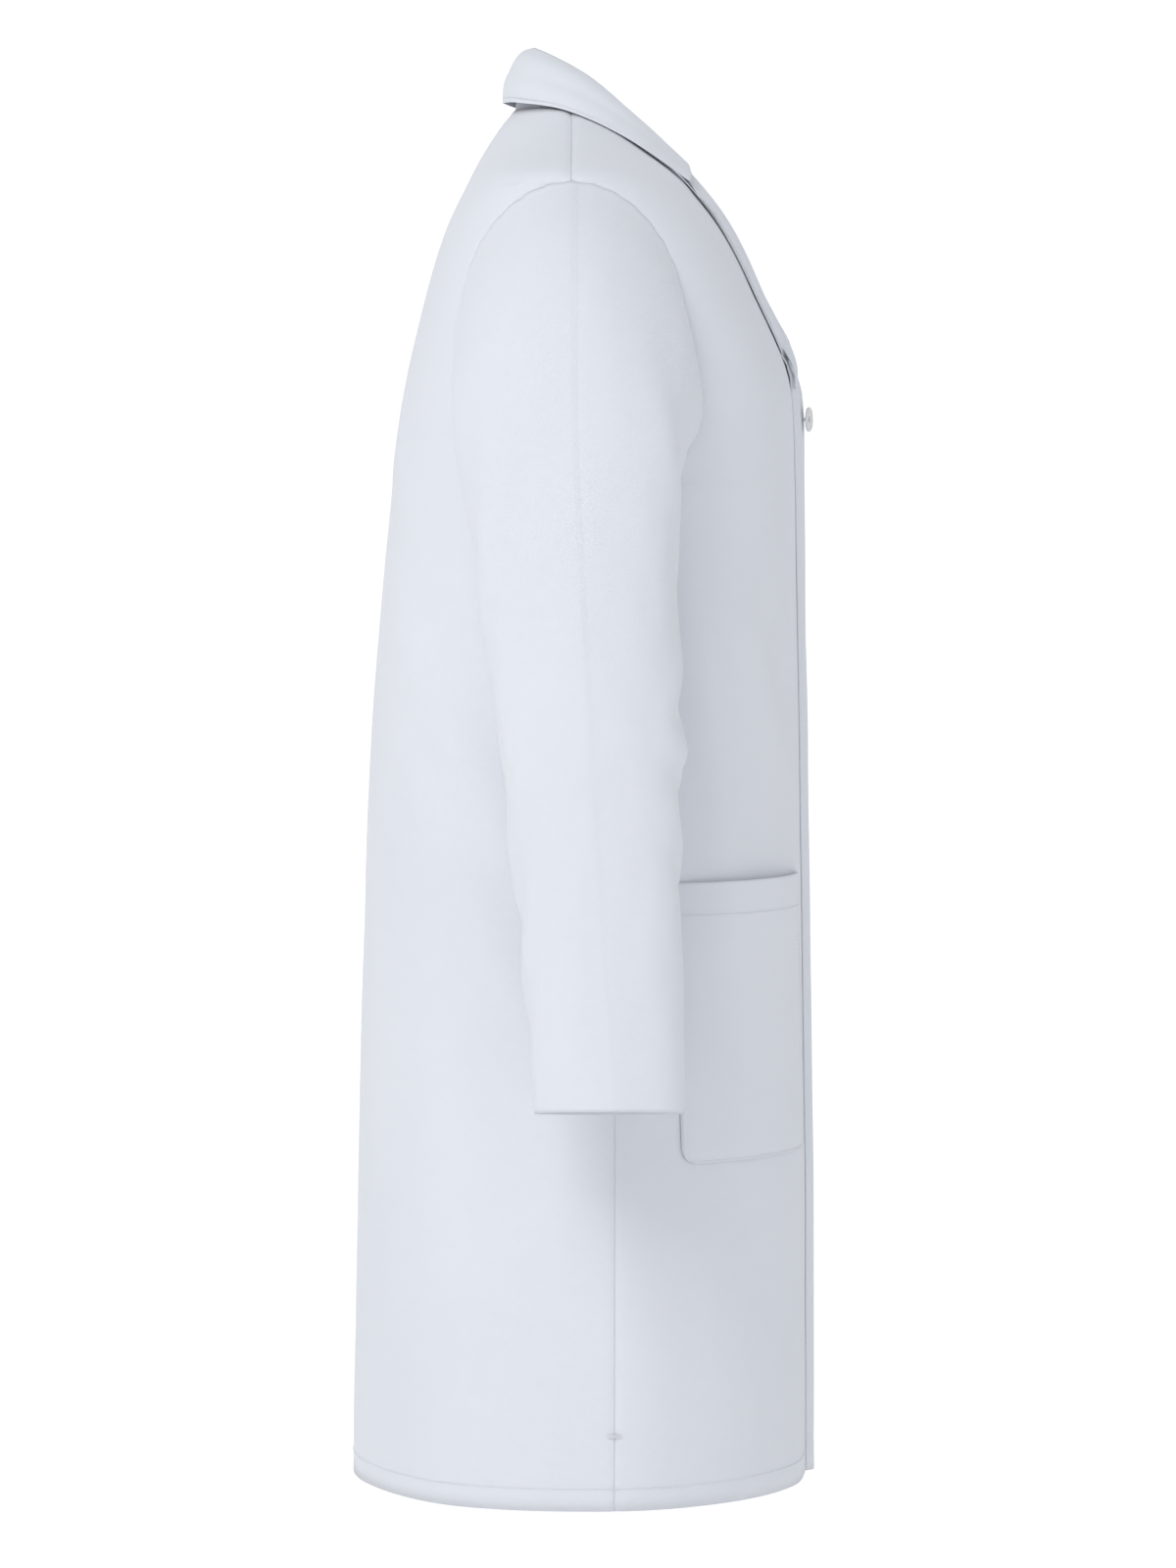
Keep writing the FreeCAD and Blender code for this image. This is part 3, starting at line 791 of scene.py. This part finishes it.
def sleeve_section(side, share, turn, off=0.0):
    """A point on the sleeve's plain tube, at a turn in degrees round it."""
    reach, middle, height, across, depth, lean = (
        monotone(SLEEVE[:, 0], SLEEVE[:, k], share) for k in range(1, 7))
    a, tilt = math.radians(turn), math.radians(lean)
    out = (across + off) * math.cos(a)
    flat = 1 - 0.06 * math.cos(2 * a) ** 2
    return Vector((side * (reach + out * math.cos(tilt)),
                   middle + (depth + off) * math.sin(a) * flat,
                   height + out * math.sin(tilt)))


def armhole_point(side, turn, off=0.0):
    """A point on the body's armhole seam, at the same turn."""
    a = math.radians(turn)
    middle, half = (UNDERARM + SHOULDER_TIP) / 2, (SHOULDER_TIP - UNDERARM) / 2
    z = middle + half * math.cos(a)
    y = armhole_middle(z) + ARMHOLE_WIDTH * math.sin(a)
    return body_point(side, z, run_at_y(z, y), off - SEAM_DIP)


def sleeve_point(side, share, turn, off=0.0):
    """The sleeve's cloth: from the armhole seam into the tube, with its creases."""
    here = sleeve_section(side, share, turn, off)
    pull = 1 - smooth(share, 0.0, 0.26)
    if pull > 0:
        head = sleeve_section(side, 0.0, turn, off)
        here += float(pull) * (armhole_point(side, turn, off) - head)
    reach, middle, height = (monotone(SLEEVE[:, 0], SLEEVE[:, k], share) for k in (1, 2, 3))
    outward = (here - Vector((side * reach, middle, height))).normalized()
    crown = 0.004 * smooth(share, 0.0, 0.05) * (1 - smooth(share, 0.05, 0.3))
    return here + outward * float(crease_height(side, share, turn) + crown)


SLEEVE_RADIUS = 0.058
TURNS_ROUND = np.linspace(0, 360, 97)[:-1]


def sleeve_row(side, share, off=0.0):
    return [(sleeve_point(side, share, turn, off), math.radians(turn) * SLEEVE_RADIUS,
             -share * SLEEVE_LENGTH) for turn in TURNS_ROUND]


def swing_with_sleeve(obj):
    """Bakes the sleeve piece's placement into its mesh and leaves it unattached."""
    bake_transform(obj)


def make_sleeves():
    shares = [0, 0.003, 0.008, 0.016, *np.linspace(0.028, 0.985, 78), 0.994, 1.0]
    hem_shares = np.linspace(1 - SLEEVE_HEM / SLEEVE_LENGTH, 0.999, 6)
    for name, side in SIDES.items():
        rows = [sleeve_row(side, share) for share in shares]
        sleeve = grid(f"{name}_sleeve_cloth", rows, closed=True, flip=side < 0)
        sheet_piece(sleeve, CLOTH)
        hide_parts(f"{name}_sleeve")
        swing_with_sleeve(sleeve)
        rows = [sleeve_row(side, share, INSIDE) for share in hem_shares]
        hem = grid(f"{name}_cuff_turned_hem", rows, closed=True, flip=side < 0)
        sheet_piece(hem, TURNED_CLOTH_PAINTED_SHADE)
        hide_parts(f"{name}_sleeve_hem")
        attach(hem, f"{name}_sleeve")


make_sleeves()


# ------ lapels and collar

LAPEL_POINT = (0.104, -0.028)
GORGE = (0.060, -0.006)


def lapel_edge_x(z):
    """The lapel's free edge: from the break out to its point, then in along the gorge."""
    if z <= LAPEL_POINT[1]:
        t = (z - BREAK) / (LAPEL_POINT[1] - BREAK)
        return -OVERLAP + (LAPEL_POINT[0] + OVERLAP) * t + 0.006 * math.sin(math.pi * t)
    t = (z - LAPEL_POINT[1]) / (GORGE[1] - LAPEL_POINT[1])
    return LAPEL_POINT[0] + (GORGE[0] - LAPEL_POINT[0]) * t


def lapel_off(side, z, t):
    """How far the lapel stands off the chest: a soft roll, then nearly flat."""
    lift = 0.006 if side > 0 else 0.002
    tip = hump(z, LAPEL_POINT[1], 0.030) * t * t
    roll = 0.0062 * smooth(t, 0, 0.10) * (1 - 0.93 * smooth(t, 0.15, 1.0))
    return roll * smooth(z, BREAK, BREAK + 0.035) + 0.0012 + lift * tip


def lapel_point(side, z, t):
    """A point from the roll line (t 0) to the lapel's free edge (t 1), and its width along."""
    start = run_at_x(z, roll_x(z)) if roll_x(z) > 0 else roll_x(z)
    edge_x = lapel_edge_x(z)
    end = run_at_x(z, edge_x) if edge_x > 0 else edge_x
    run = start + (max(end, start + 0.002) - start) * t
    cover = cover_step(z, run) if side > 0 else 0.0
    return body_point(side, z, run, lapel_off(side, z, t) + cover, 0.5), side * run


def make_lapels():
    rows_z = list(np.linspace(BREAK + 0.002, LAPEL_POINT[1], 40))
    rows_z += list(np.linspace(LAPEL_POINT[1], GORGE[1], 9)[1:])
    for name, side in SIDES.items():
        rows = []
        for z in rows_z:
            row = []
            for t in [0, 0.03, 0.07, 0.12, *np.linspace(0.2, 1, 18)]:
                here, u = lapel_point(side, z, t)
                row.append((here, u, z))
            rows.append(row)
        lapel = grid(f"{name}_lapel_cloth", rows, flip=side < 0)
        sheet_piece(lapel, CLOTH)
        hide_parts(f"{name}_lapel")
        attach(lapel, "coat_body")


make_lapels()


def through(points, share):
    """A point part of the way along a smooth line through points."""
    spot = share * (len(points) - 1)
    i = min(int(spot), len(points) - 2)
    t = spot - i
    p0, p1 = points[max(i - 1, 0)], points[i]
    p2, p3 = points[i + 1], points[min(i + 2, len(points) - 1)]
    return 0.5 * (2 * p1 + (p2 - p0) * t + (2 * p0 - 5 * p1 + 4 * p2 - p3) * t * t
                  + (3 * p1 - p0 - 3 * p2 + p3) * t ** 3)


def drape_height(x, y):
    """The body's height under a place on the shoulders."""
    low, high = -0.20, NECK
    for _ in range(26):
        z = (low + high) / 2
        half, front, back, square = (monotone(BODY[:, 0], BODY[:, k], z) for k in range(1, 5))
        depth, middle = (front + back) / 2, (back - front) / 2
        inside = abs(x / half) ** square + abs((y - middle) / depth) ** square < 1
        low, high = (z, high) if inside else (low, z)
    return low


def on_front(z, x, off):
    return body_point(1, z, run_at_x(z, x), off, 0)


FOLD_LINE = [Vector(p) for p in (
    (0, 0.038, 0.081), (0.041, 0.026, 0.074), (0.067, -0.003, 0.056), (0.070, -0.036, 0.027))]
FOLD_LINE.append(on_front(-0.008, roll_x(-0.008), 0.006))
STAND_LINE = [Vector(p) for p in (
    (0, 0.0515, 0.036), (0.046, 0.040, 0.036), (0.076, 0.016, 0.034), (0.075, -0.018, 0.026))]
STAND_LINE.append(on_front(-0.004, roll_x(-0.004) + 0.006, 0.001))
FALL_LINE = [(0, 0.060), (0.058, 0.049), (0.095, 0.014), (0.108, -0.028)]
FALL_LINE = [Vector((x, y, drape_height(x, y) + 0.0018)) for x, y in FALL_LINE]
FALL_LINE[0].z, FALL_LINE[1].z = 0.042, 0.040
FALL_LINE.append(on_front(-0.020, 0.098, 0.004))


def collar_point(line, place):
    here = through(line, abs(place))
    return Vector((math.copysign(here.x, place) if place else 0.0, here.y, here.z))


COLLAR_HALF = 0.215
COLLAR_MIDDLE = Vector((0, -0.01, 0.02))
STAND_WIDTH = 0.035
FALL_WIDTH = 0.050


def collar_belly(t):
    """How far the fall bows out between its fold (t 0) and its lower edge (t 1)."""
    roll = 0.003 * smooth(t, 0, 0.12) * (1 - smooth(t, 0.45, 1))
    return 0.0050 * math.sin(math.pi * t) ** 0.8 + roll


def make_collar():
    places = np.linspace(-1, 1, 121)
    rows = []
    for t in np.linspace(0, 1, 9):
        row = []
        for place in places:
            low, top = collar_point(STAND_LINE, place), collar_point(FOLD_LINE, place)
            bow = Vector((low.x, low.y, 0)).normalized() * 0.002 * math.sin(math.pi * t)
            row.append((low + (top - low) * t + bow, place * COLLAR_HALF, t * STAND_WIDTH))
        rows.append(row)
    stand = grid("collar_stand_cloth", rows)
    sheet_piece(stand, TURNED_CLOTH_PAINTED_SHADE)
    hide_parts("collar_stand")
    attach(stand, "coat_body")
    rows = []
    for t in [0, 0.04, 0.09, 0.15, *np.linspace(0.22, 0.96, 14), 0.985, 1.0]:
        row = []
        for place in places:
            top, low = collar_point(FOLD_LINE, place), collar_point(FALL_LINE, place)
            out = low - COLLAR_MIDDLE
            out.z = 0
            out.normalize()
            rise = 0.0032 * math.sin(math.pi * min(1.0, t * 2.2)) if t < 0.4545 else 0.0
            wave = 0.0012 * noise.noise(Vector((place * 3, t * 2, 8.3)))
            here = top + (low - top) * t + out * (collar_belly(t) + wave)
            row.append((here + Vector((0, 0, rise)),
                        place * COLLAR_HALF * (1 + 0.25 * t), -t * FALL_WIDTH))
        rows.append(row)
    fall = grid("collar_fall_cloth", rows, flip=True)
    sheet_piece(fall, CLOTH)
    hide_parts("collar_fall")
    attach(fall, "coat_body")


make_collar()


# ------ pockets

def pocket_shape(run_in, run_out, top, bottom, gape):
    return {"in": run_in, "out": run_out, "top": top, "bottom": bottom, "gape": gape}


PATCH = pocket_shape(run_at_x(-0.61, 0.072), run_at_y(-0.61, -0.063), -0.506, -0.702, 0.0045)
CHEST_PATCH = pocket_shape(run_at_x(-0.15, 0.062), run_at_x(-0.15, 0.162), -0.098, -0.214, 0.003)
CORNER = 0.012
MOUTH_HEM = 0.024


def pocket_point(side, shape, u, v, off=0.0, inset=0.0):
    """A place on a patch pocket: u from inner to outer edge, v from foot to mouth."""
    z = shape["bottom"] + inset + (shape["top"] - shape["bottom"] - inset) * v
    round_ = max(0.0, 1 - (z - shape["bottom"]) / CORNER)
    cut = CORNER * (1 - math.sqrt(max(0.0, 1 - round_ ** 2))) + inset
    start, end = shape["in"] + cut, shape["out"] - cut
    run = start + (end - start) * u
    edge = min(run - shape["in"], shape["out"] - run, z - shape["bottom"])
    mouth = smooth(z, shape["top"] - 0.075, shape["top"])
    open_ = shape["gape"] * math.sin(math.pi * u) ** 1.3 * mouth
    under = cover_step(z, run) if side > 0 else 0.0
    puff = 0.0016 + 0.0012 * smooth(edge, 0.0, 0.01)
    return body_point(side, z, run, under + puff + open_ + off), side * run, z


def make_pocket(label, side, shape, nodes):
    """A patch and the hem behind its mouth; the caller says what they move with."""
    us = [0, 0.012, 0.03, *np.linspace(0.07, 0.93, 24), 0.97, 0.988, 1]
    vs = [0, 0.01, 0.025, *np.linspace(0.05, 0.97, 26), 0.99, 1]
    patch = grid(label, [[pocket_point(side, shape, u, v) for u in us] for v in vs], flip=side < 0)
    sheet_piece(patch, CLOTH)
    hem_low = 1 - MOUTH_HEM / (shape["top"] - shape["bottom"])
    rows = [[pocket_point(side, shape, u, v, -PLY - 0.0004) for u in np.linspace(0.02, 0.98, 26)]
            for v in np.linspace(hem_low, 0.998, 6)]
    hem = grid(f"{label}_mouth_hem", rows, flip=side < 0)
    sheet_piece(hem, TURNED_CLOTH_PAINTED_SHADE)
    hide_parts(nodes[0])
    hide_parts(nodes[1])
    return patch, hem


def make_pockets():
    for name, side in SIDES.items():
        for piece in make_pocket(f"{name}_patch_pocket", side, PATCH,
                                 (f"{name}_pocket", f"{name}_pocket_hem")):
            swing_with_front(piece)
    for piece in make_pocket("breast_pocket", 1, CHEST_PATCH, ("chest_pocket", "chest_pocket_hem")):
        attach(piece, "coat_body")


make_pockets()


# ------ hanger loop

def make_loop():
    low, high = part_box("hanger_loop")
    middle_y, top, drop = (low[1] + high[1]) / 2, high[2], high[2] - low[2]
    half = (high[0] - low[0]) / 2 - 0.004
    path = [(-half, 0), (-half * 1.02, -0.45), (-half * 0.86, -0.86), (-half * 0.4, -0.93),
            (half * 0.4, -0.93), (half * 0.86, -0.86), (half * 1.02, -0.45), (half, 0)]
    line = [Vector((x, middle_y, top + z * drop)) for x, z in path]
    rows = []
    for i in range(49):
        share = i / 48
        here = through(line, share)
        ahead = through(line, min(1, share + 0.01)) - through(line, max(0, share - 0.01))
        across = Vector((0, 1, 0)).cross(ahead.normalized())
        row = []
        for t in np.linspace(-1, 1, 7):
            row.append((here + across * 0.0032 * t + Vector((0, 0.0004 * math.cos(t * 3), 0)),
                        0.0032 * t, share * 0.1))
        rows.append(row)
    loop = grid("hanger_loop_tape", rows)
    thicken(loop, 0.0012)
    loop.data.materials.clear()
    loop.data.materials.append(TAPE)
    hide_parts("hanger_loop")
    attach(loop, "hanger_loop")


make_loop()


# ------ stitches

def stitch_tree():
    """Short stitches of thread along a line."""
    tree = bpy.data.node_groups.new("stitches", "GeometryNodeTree")
    tree.interface.new_socket("Line", in_out="INPUT", socket_type="NodeSocketGeometry")
    for label, value in (("Pitch", 0.0032), ("Stitch length", 0.0024), ("Thread radius", 0.00032)):
        size = tree.interface.new_socket(label, in_out="INPUT", socket_type="NodeSocketFloat")
        size.default_value = value
    tree.interface.new_socket("Stitches", in_out="OUTPUT", socket_type="NodeSocketGeometry")
    nodes, links = tree.nodes, tree.links
    given, result = nodes.new("NodeGroupInput"), nodes.new("NodeGroupOutput")
    curve = nodes.new("GeometryNodeMeshToCurve")
    links.new(given.outputs["Line"], curve.inputs["Mesh"])
    points = nodes.new("GeometryNodeCurveToPoints")
    points.mode = "LENGTH"
    links.new(curve.outputs[0], points.inputs["Curve"])
    links.new(given.outputs["Pitch"], points.inputs["Length"])
    stitch = nodes.new("GeometryNodeMeshCylinder")
    stitch.inputs["Vertices"].default_value = 6
    links.new(given.outputs["Thread radius"], stitch.inputs["Radius"])
    links.new(given.outputs["Stitch length"], stitch.inputs["Depth"])
    align = nodes.new("FunctionNodeAlignRotationToVector")
    align.axis = "Z"
    links.new(points.outputs["Tangent"], align.inputs["Vector"])
    put = nodes.new("GeometryNodeInstanceOnPoints")
    links.new(points.outputs["Points"], put.inputs["Points"])
    links.new(stitch.outputs["Mesh"], put.inputs["Instance"])
    links.new(align.outputs[0], put.inputs["Rotation"])
    real = nodes.new("GeometryNodeRealizeInstances")
    links.new(put.outputs[0], real.inputs[0])
    finish = nodes.new("GeometryNodeSetMaterial")
    finish.inputs["Material"].default_value = THREAD
    links.new(real.outputs[0], finish.inputs["Geometry"])
    links.new(finish.outputs[0], result.inputs[0])
    return tree


STITCHES = stitch_tree()


def make_stitches(name, lines, settings=()):
    """Stitches along lines of points, as one piece; the caller says what it moves with."""
    vertices, edges = [], []
    for line in lines:
        base = len(vertices)
        vertices += [tuple(p) for p in line]
        edges += [(base + i, base + i + 1) for i in range(len(line) - 1)]
    mesh = bpy.data.meshes.new(name)
    mesh.from_pydata(vertices, edges, [])
    obj = bpy.data.objects.new(name, mesh)
    bpy.context.collection.objects.link(obj)
    modifier = obj.modifiers.new("stitches", "NODES")
    modifier.node_group = STITCHES
    sockets = {item.name: item.identifier for item in STITCHES.interface.items_tree}
    for label, value in settings:
        modifier[sockets[label]] = value
    settle(obj)
    if not obj.data.materials:
        obj.data.materials.append(THREAD)
    return obj


PROUD = 0.0002


def hem_line(side, start, end, count=90):
    z = HEM + 0.0155
    return [body_point(side, z, r, PROUD) for r in np.linspace(start, end, count)]


def pocket_lines(side, shape):
    inset = 0.0015
    lines = []
    down = [pocket_point(side, shape, 0, v, PROUD, inset)[0] for v in np.linspace(0.998, 0.0, 60)]
    foot = [pocket_point(side, shape, u, 0, PROUD, inset)[0] for u in np.linspace(0, 1, 50)]
    up = [pocket_point(side, shape, 1, v, PROUD, inset)[0] for v in np.linspace(0.0, 0.998, 60)]
    lines.append(down + foot[1:-1] + up)
    v = 1 - 0.023 / (shape["top"] - shape["bottom"])
    lines.append([pocket_point(side, shape, u, v, PROUD)[0] for u in np.linspace(0.015, 0.985, 60)])
    return lines


def collar_edge_line():
    line = []
    for place in np.linspace(-0.985, 0.985, 150):
        top, low = collar_point(FOLD_LINE, place), collar_point(FALL_LINE, place)
        out = low - COLLAR_MIDDLE
        out.z = 0
        t = 0.90
        line.append(top + (low - top) * t + out.normalized() * (collar_belly(t) + 0.0012 + PROUD))
    return line


def bar_tack(side):
    """A close row of thread across the side seam, at the top of the hem slit."""
    z = HEM + 0.052
    lines = []
    for shift in (-0.0009, -0.0003, 0.0003, 0.0009):
        runs = np.linspace(-0.004, 0.004, 6)
        seam = run_at_y(z, SIDE_SEAM_Y)
        lines.append([body_point(side, z + shift, seam + r, 0.0004) for r in runs])
    return lines


def make_all_stitches():
    seam = run_at_y(HEM, SIDE_SEAM_Y)
    back_line = [hem_line(side, seam + 0.001, half_girth(HEM)) for side in (-1, 1)]
    tacks = bar_tack(-1) + bar_tack(1)
    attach(make_stitches("back_hem_stitches", back_line), "coat_body")
    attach(make_stitches("side_slit_tacks", tacks, [("Pitch", 0.0009)]), "coat_body")
    for name, side in SIDES.items():
        start = OVERLAP + 0.03 if side > 0 else -OVERLAP + 0.003
        lines = [hem_line(side, start, seam - 0.001)]
        lines += pocket_lines(side, PATCH)
        if side > 0:
            lines.append([body_point(1, z, OVERLAP + 0.016, cover_step(z, OVERLAP + 0.016) + PROUD)
                          for z in np.linspace(HEM + 0.004, BREAK, 160)])
        stitches = make_stitches(f"{name}_front_stitches", lines)
        swing_with_front(stitches)
        cuff_share = 1 - (SLEEVE_HEM - 0.002) / SLEEVE_LENGTH
        cuff = [[sleeve_point(side, cuff_share, turn, PROUD) for turn in np.linspace(0, 360, 121)]]
        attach(make_stitches(f"{name}_cuff_stitches", cuff), f"{name}_sleeve")
        edge = []
        for z in np.linspace(BREAK + 0.02, LAPEL_POINT[1] - 0.002, 70):
            here = lapel_point(side, z, 0.93)[0]
            edge.append(here + Vector((0, -0.0005, 0.0001)))
        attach(make_stitches(f"{name}_lapel_stitches", [edge]), "coat_body")
    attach(make_stitches("collar_stitches", [collar_edge_line()]), "coat_body")
    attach(make_stitches("breast_pocket_stitches", pocket_lines(1, CHEST_PATCH)), "coat_body")


make_all_stitches()


# ------ room, lights and camera

STAGE_RADIUS = 11.0
STAGE_BEND = 4.0
STAGE_HEIGHT = 9.0
FLOOR = HEM - 0.30


def make_stage():
    """A round pale floor that curves up into a wall all round."""
    flat = STAGE_RADIUS - STAGE_BEND
    profile = [(0.0, 0.0), (3.0, 0.0), (flat, 0.0)]
    for i in range(1, 13):
        a = math.pi / 2 * i / 12
        profile.append((flat + STAGE_BEND * math.sin(a), STAGE_BEND * (1 - math.cos(a))))
    profile.append((STAGE_RADIUS, STAGE_HEIGHT))
    segments, vertices, faces = 96, [], []
    for r, height in profile:
        for i in range(segments):
            a = 2 * math.pi * i / segments
            spot = max(r, 0.001)
            vertices.append((spot * math.cos(a), spot * math.sin(a), FLOOR + height))
    for j in range(len(profile) - 1):
        for i in range(segments):
            a, b = j * segments + i, j * segments + (i + 1) % segments
            faces.append((a, b, b + segments, a + segments))
    sweep = mesh_object("studio_sweep", vertices, faces)
    material, nodes, links, shader = new_material("pale_studio_floor")
    shader.inputs["Base Color"].default_value = (0.93, 0.93, 0.935, 1)
    shader.inputs["Roughness"].default_value = 0.9
    shader.inputs["Emission Color"].default_value = (1, 1, 1, 1)
    path = nodes.new("ShaderNodeLightPath")
    glow = nodes.new("ShaderNodeMath")
    glow.operation = "MULTIPLY_ADD"
    glow.inputs[1].default_value = 0.30
    glow.inputs[2].default_value = 0.17
    links.new(path.outputs["Is Camera Ray"], glow.inputs[0])
    links.new(glow.outputs[0], shader.inputs["Emission Strength"])
    sweep.data.materials.append(material)


def add_light(name, place, target, width, power, colour=(1, 1, 1)):
    data = bpy.data.lights.new(name, "AREA")
    data.shape = "SQUARE"
    data.size = width
    data.energy = power
    data.color = colour
    light = bpy.data.objects.new(name, data)
    bpy.context.collection.objects.link(light)
    light.location = place
    light.rotation_euler = (Vector(target) - Vector(place)).to_track_quat("-Z", "Y").to_euler()


def make_room():
    make_stage()
    add_light("key_light", (-3.2, 1.6, 2.4), (0, 0, -0.4), 2.0, 62)
    add_light("front_light", (-1.5, -4.2, 0.8), (0, 0, -0.4), 2.4, 3)
    add_light("back_light", (1.5, 4.0, 1.5), (0, 0, -0.3), 2.4, 9)
    world = bpy.data.worlds.new("studio")
    world.use_nodes = True
    sky = world.node_tree.nodes["Background"]
    sky.inputs["Color"].default_value = (0.93, 0.96, 1.0, 1)
    sky.inputs["Strength"].default_value = 0.48
    bpy.context.scene.world = world
    bpy.context.scene.view_settings.view_transform = "Standard"


CAMERA_DISTANCE = 6.0
CAMERA_HEIGHT = -0.20
VIEW_MIDDLE = -0.4465
VIEW_TALL = 1.128


def make_camera():
    data = bpy.data.cameras.new("camera")
    data.sensor_fit = "VERTICAL"
    data.sensor_height = 24
    place, target = Vector((-CAMERA_DISTANCE, 0, CAMERA_HEIGHT)), Vector((0, 0, VIEW_MIDDLE))
    data.lens = data.sensor_height * (target - place).length / VIEW_TALL
    data.clip_end = 60
    camera = bpy.data.objects.new("camera", data)
    bpy.context.collection.objects.link(camera)
    camera.location = place
    camera.rotation_euler = (target - place).to_track_quat("-Z", "Y").to_euler()
    bpy.context.scene.camera = camera


make_room()
make_camera()
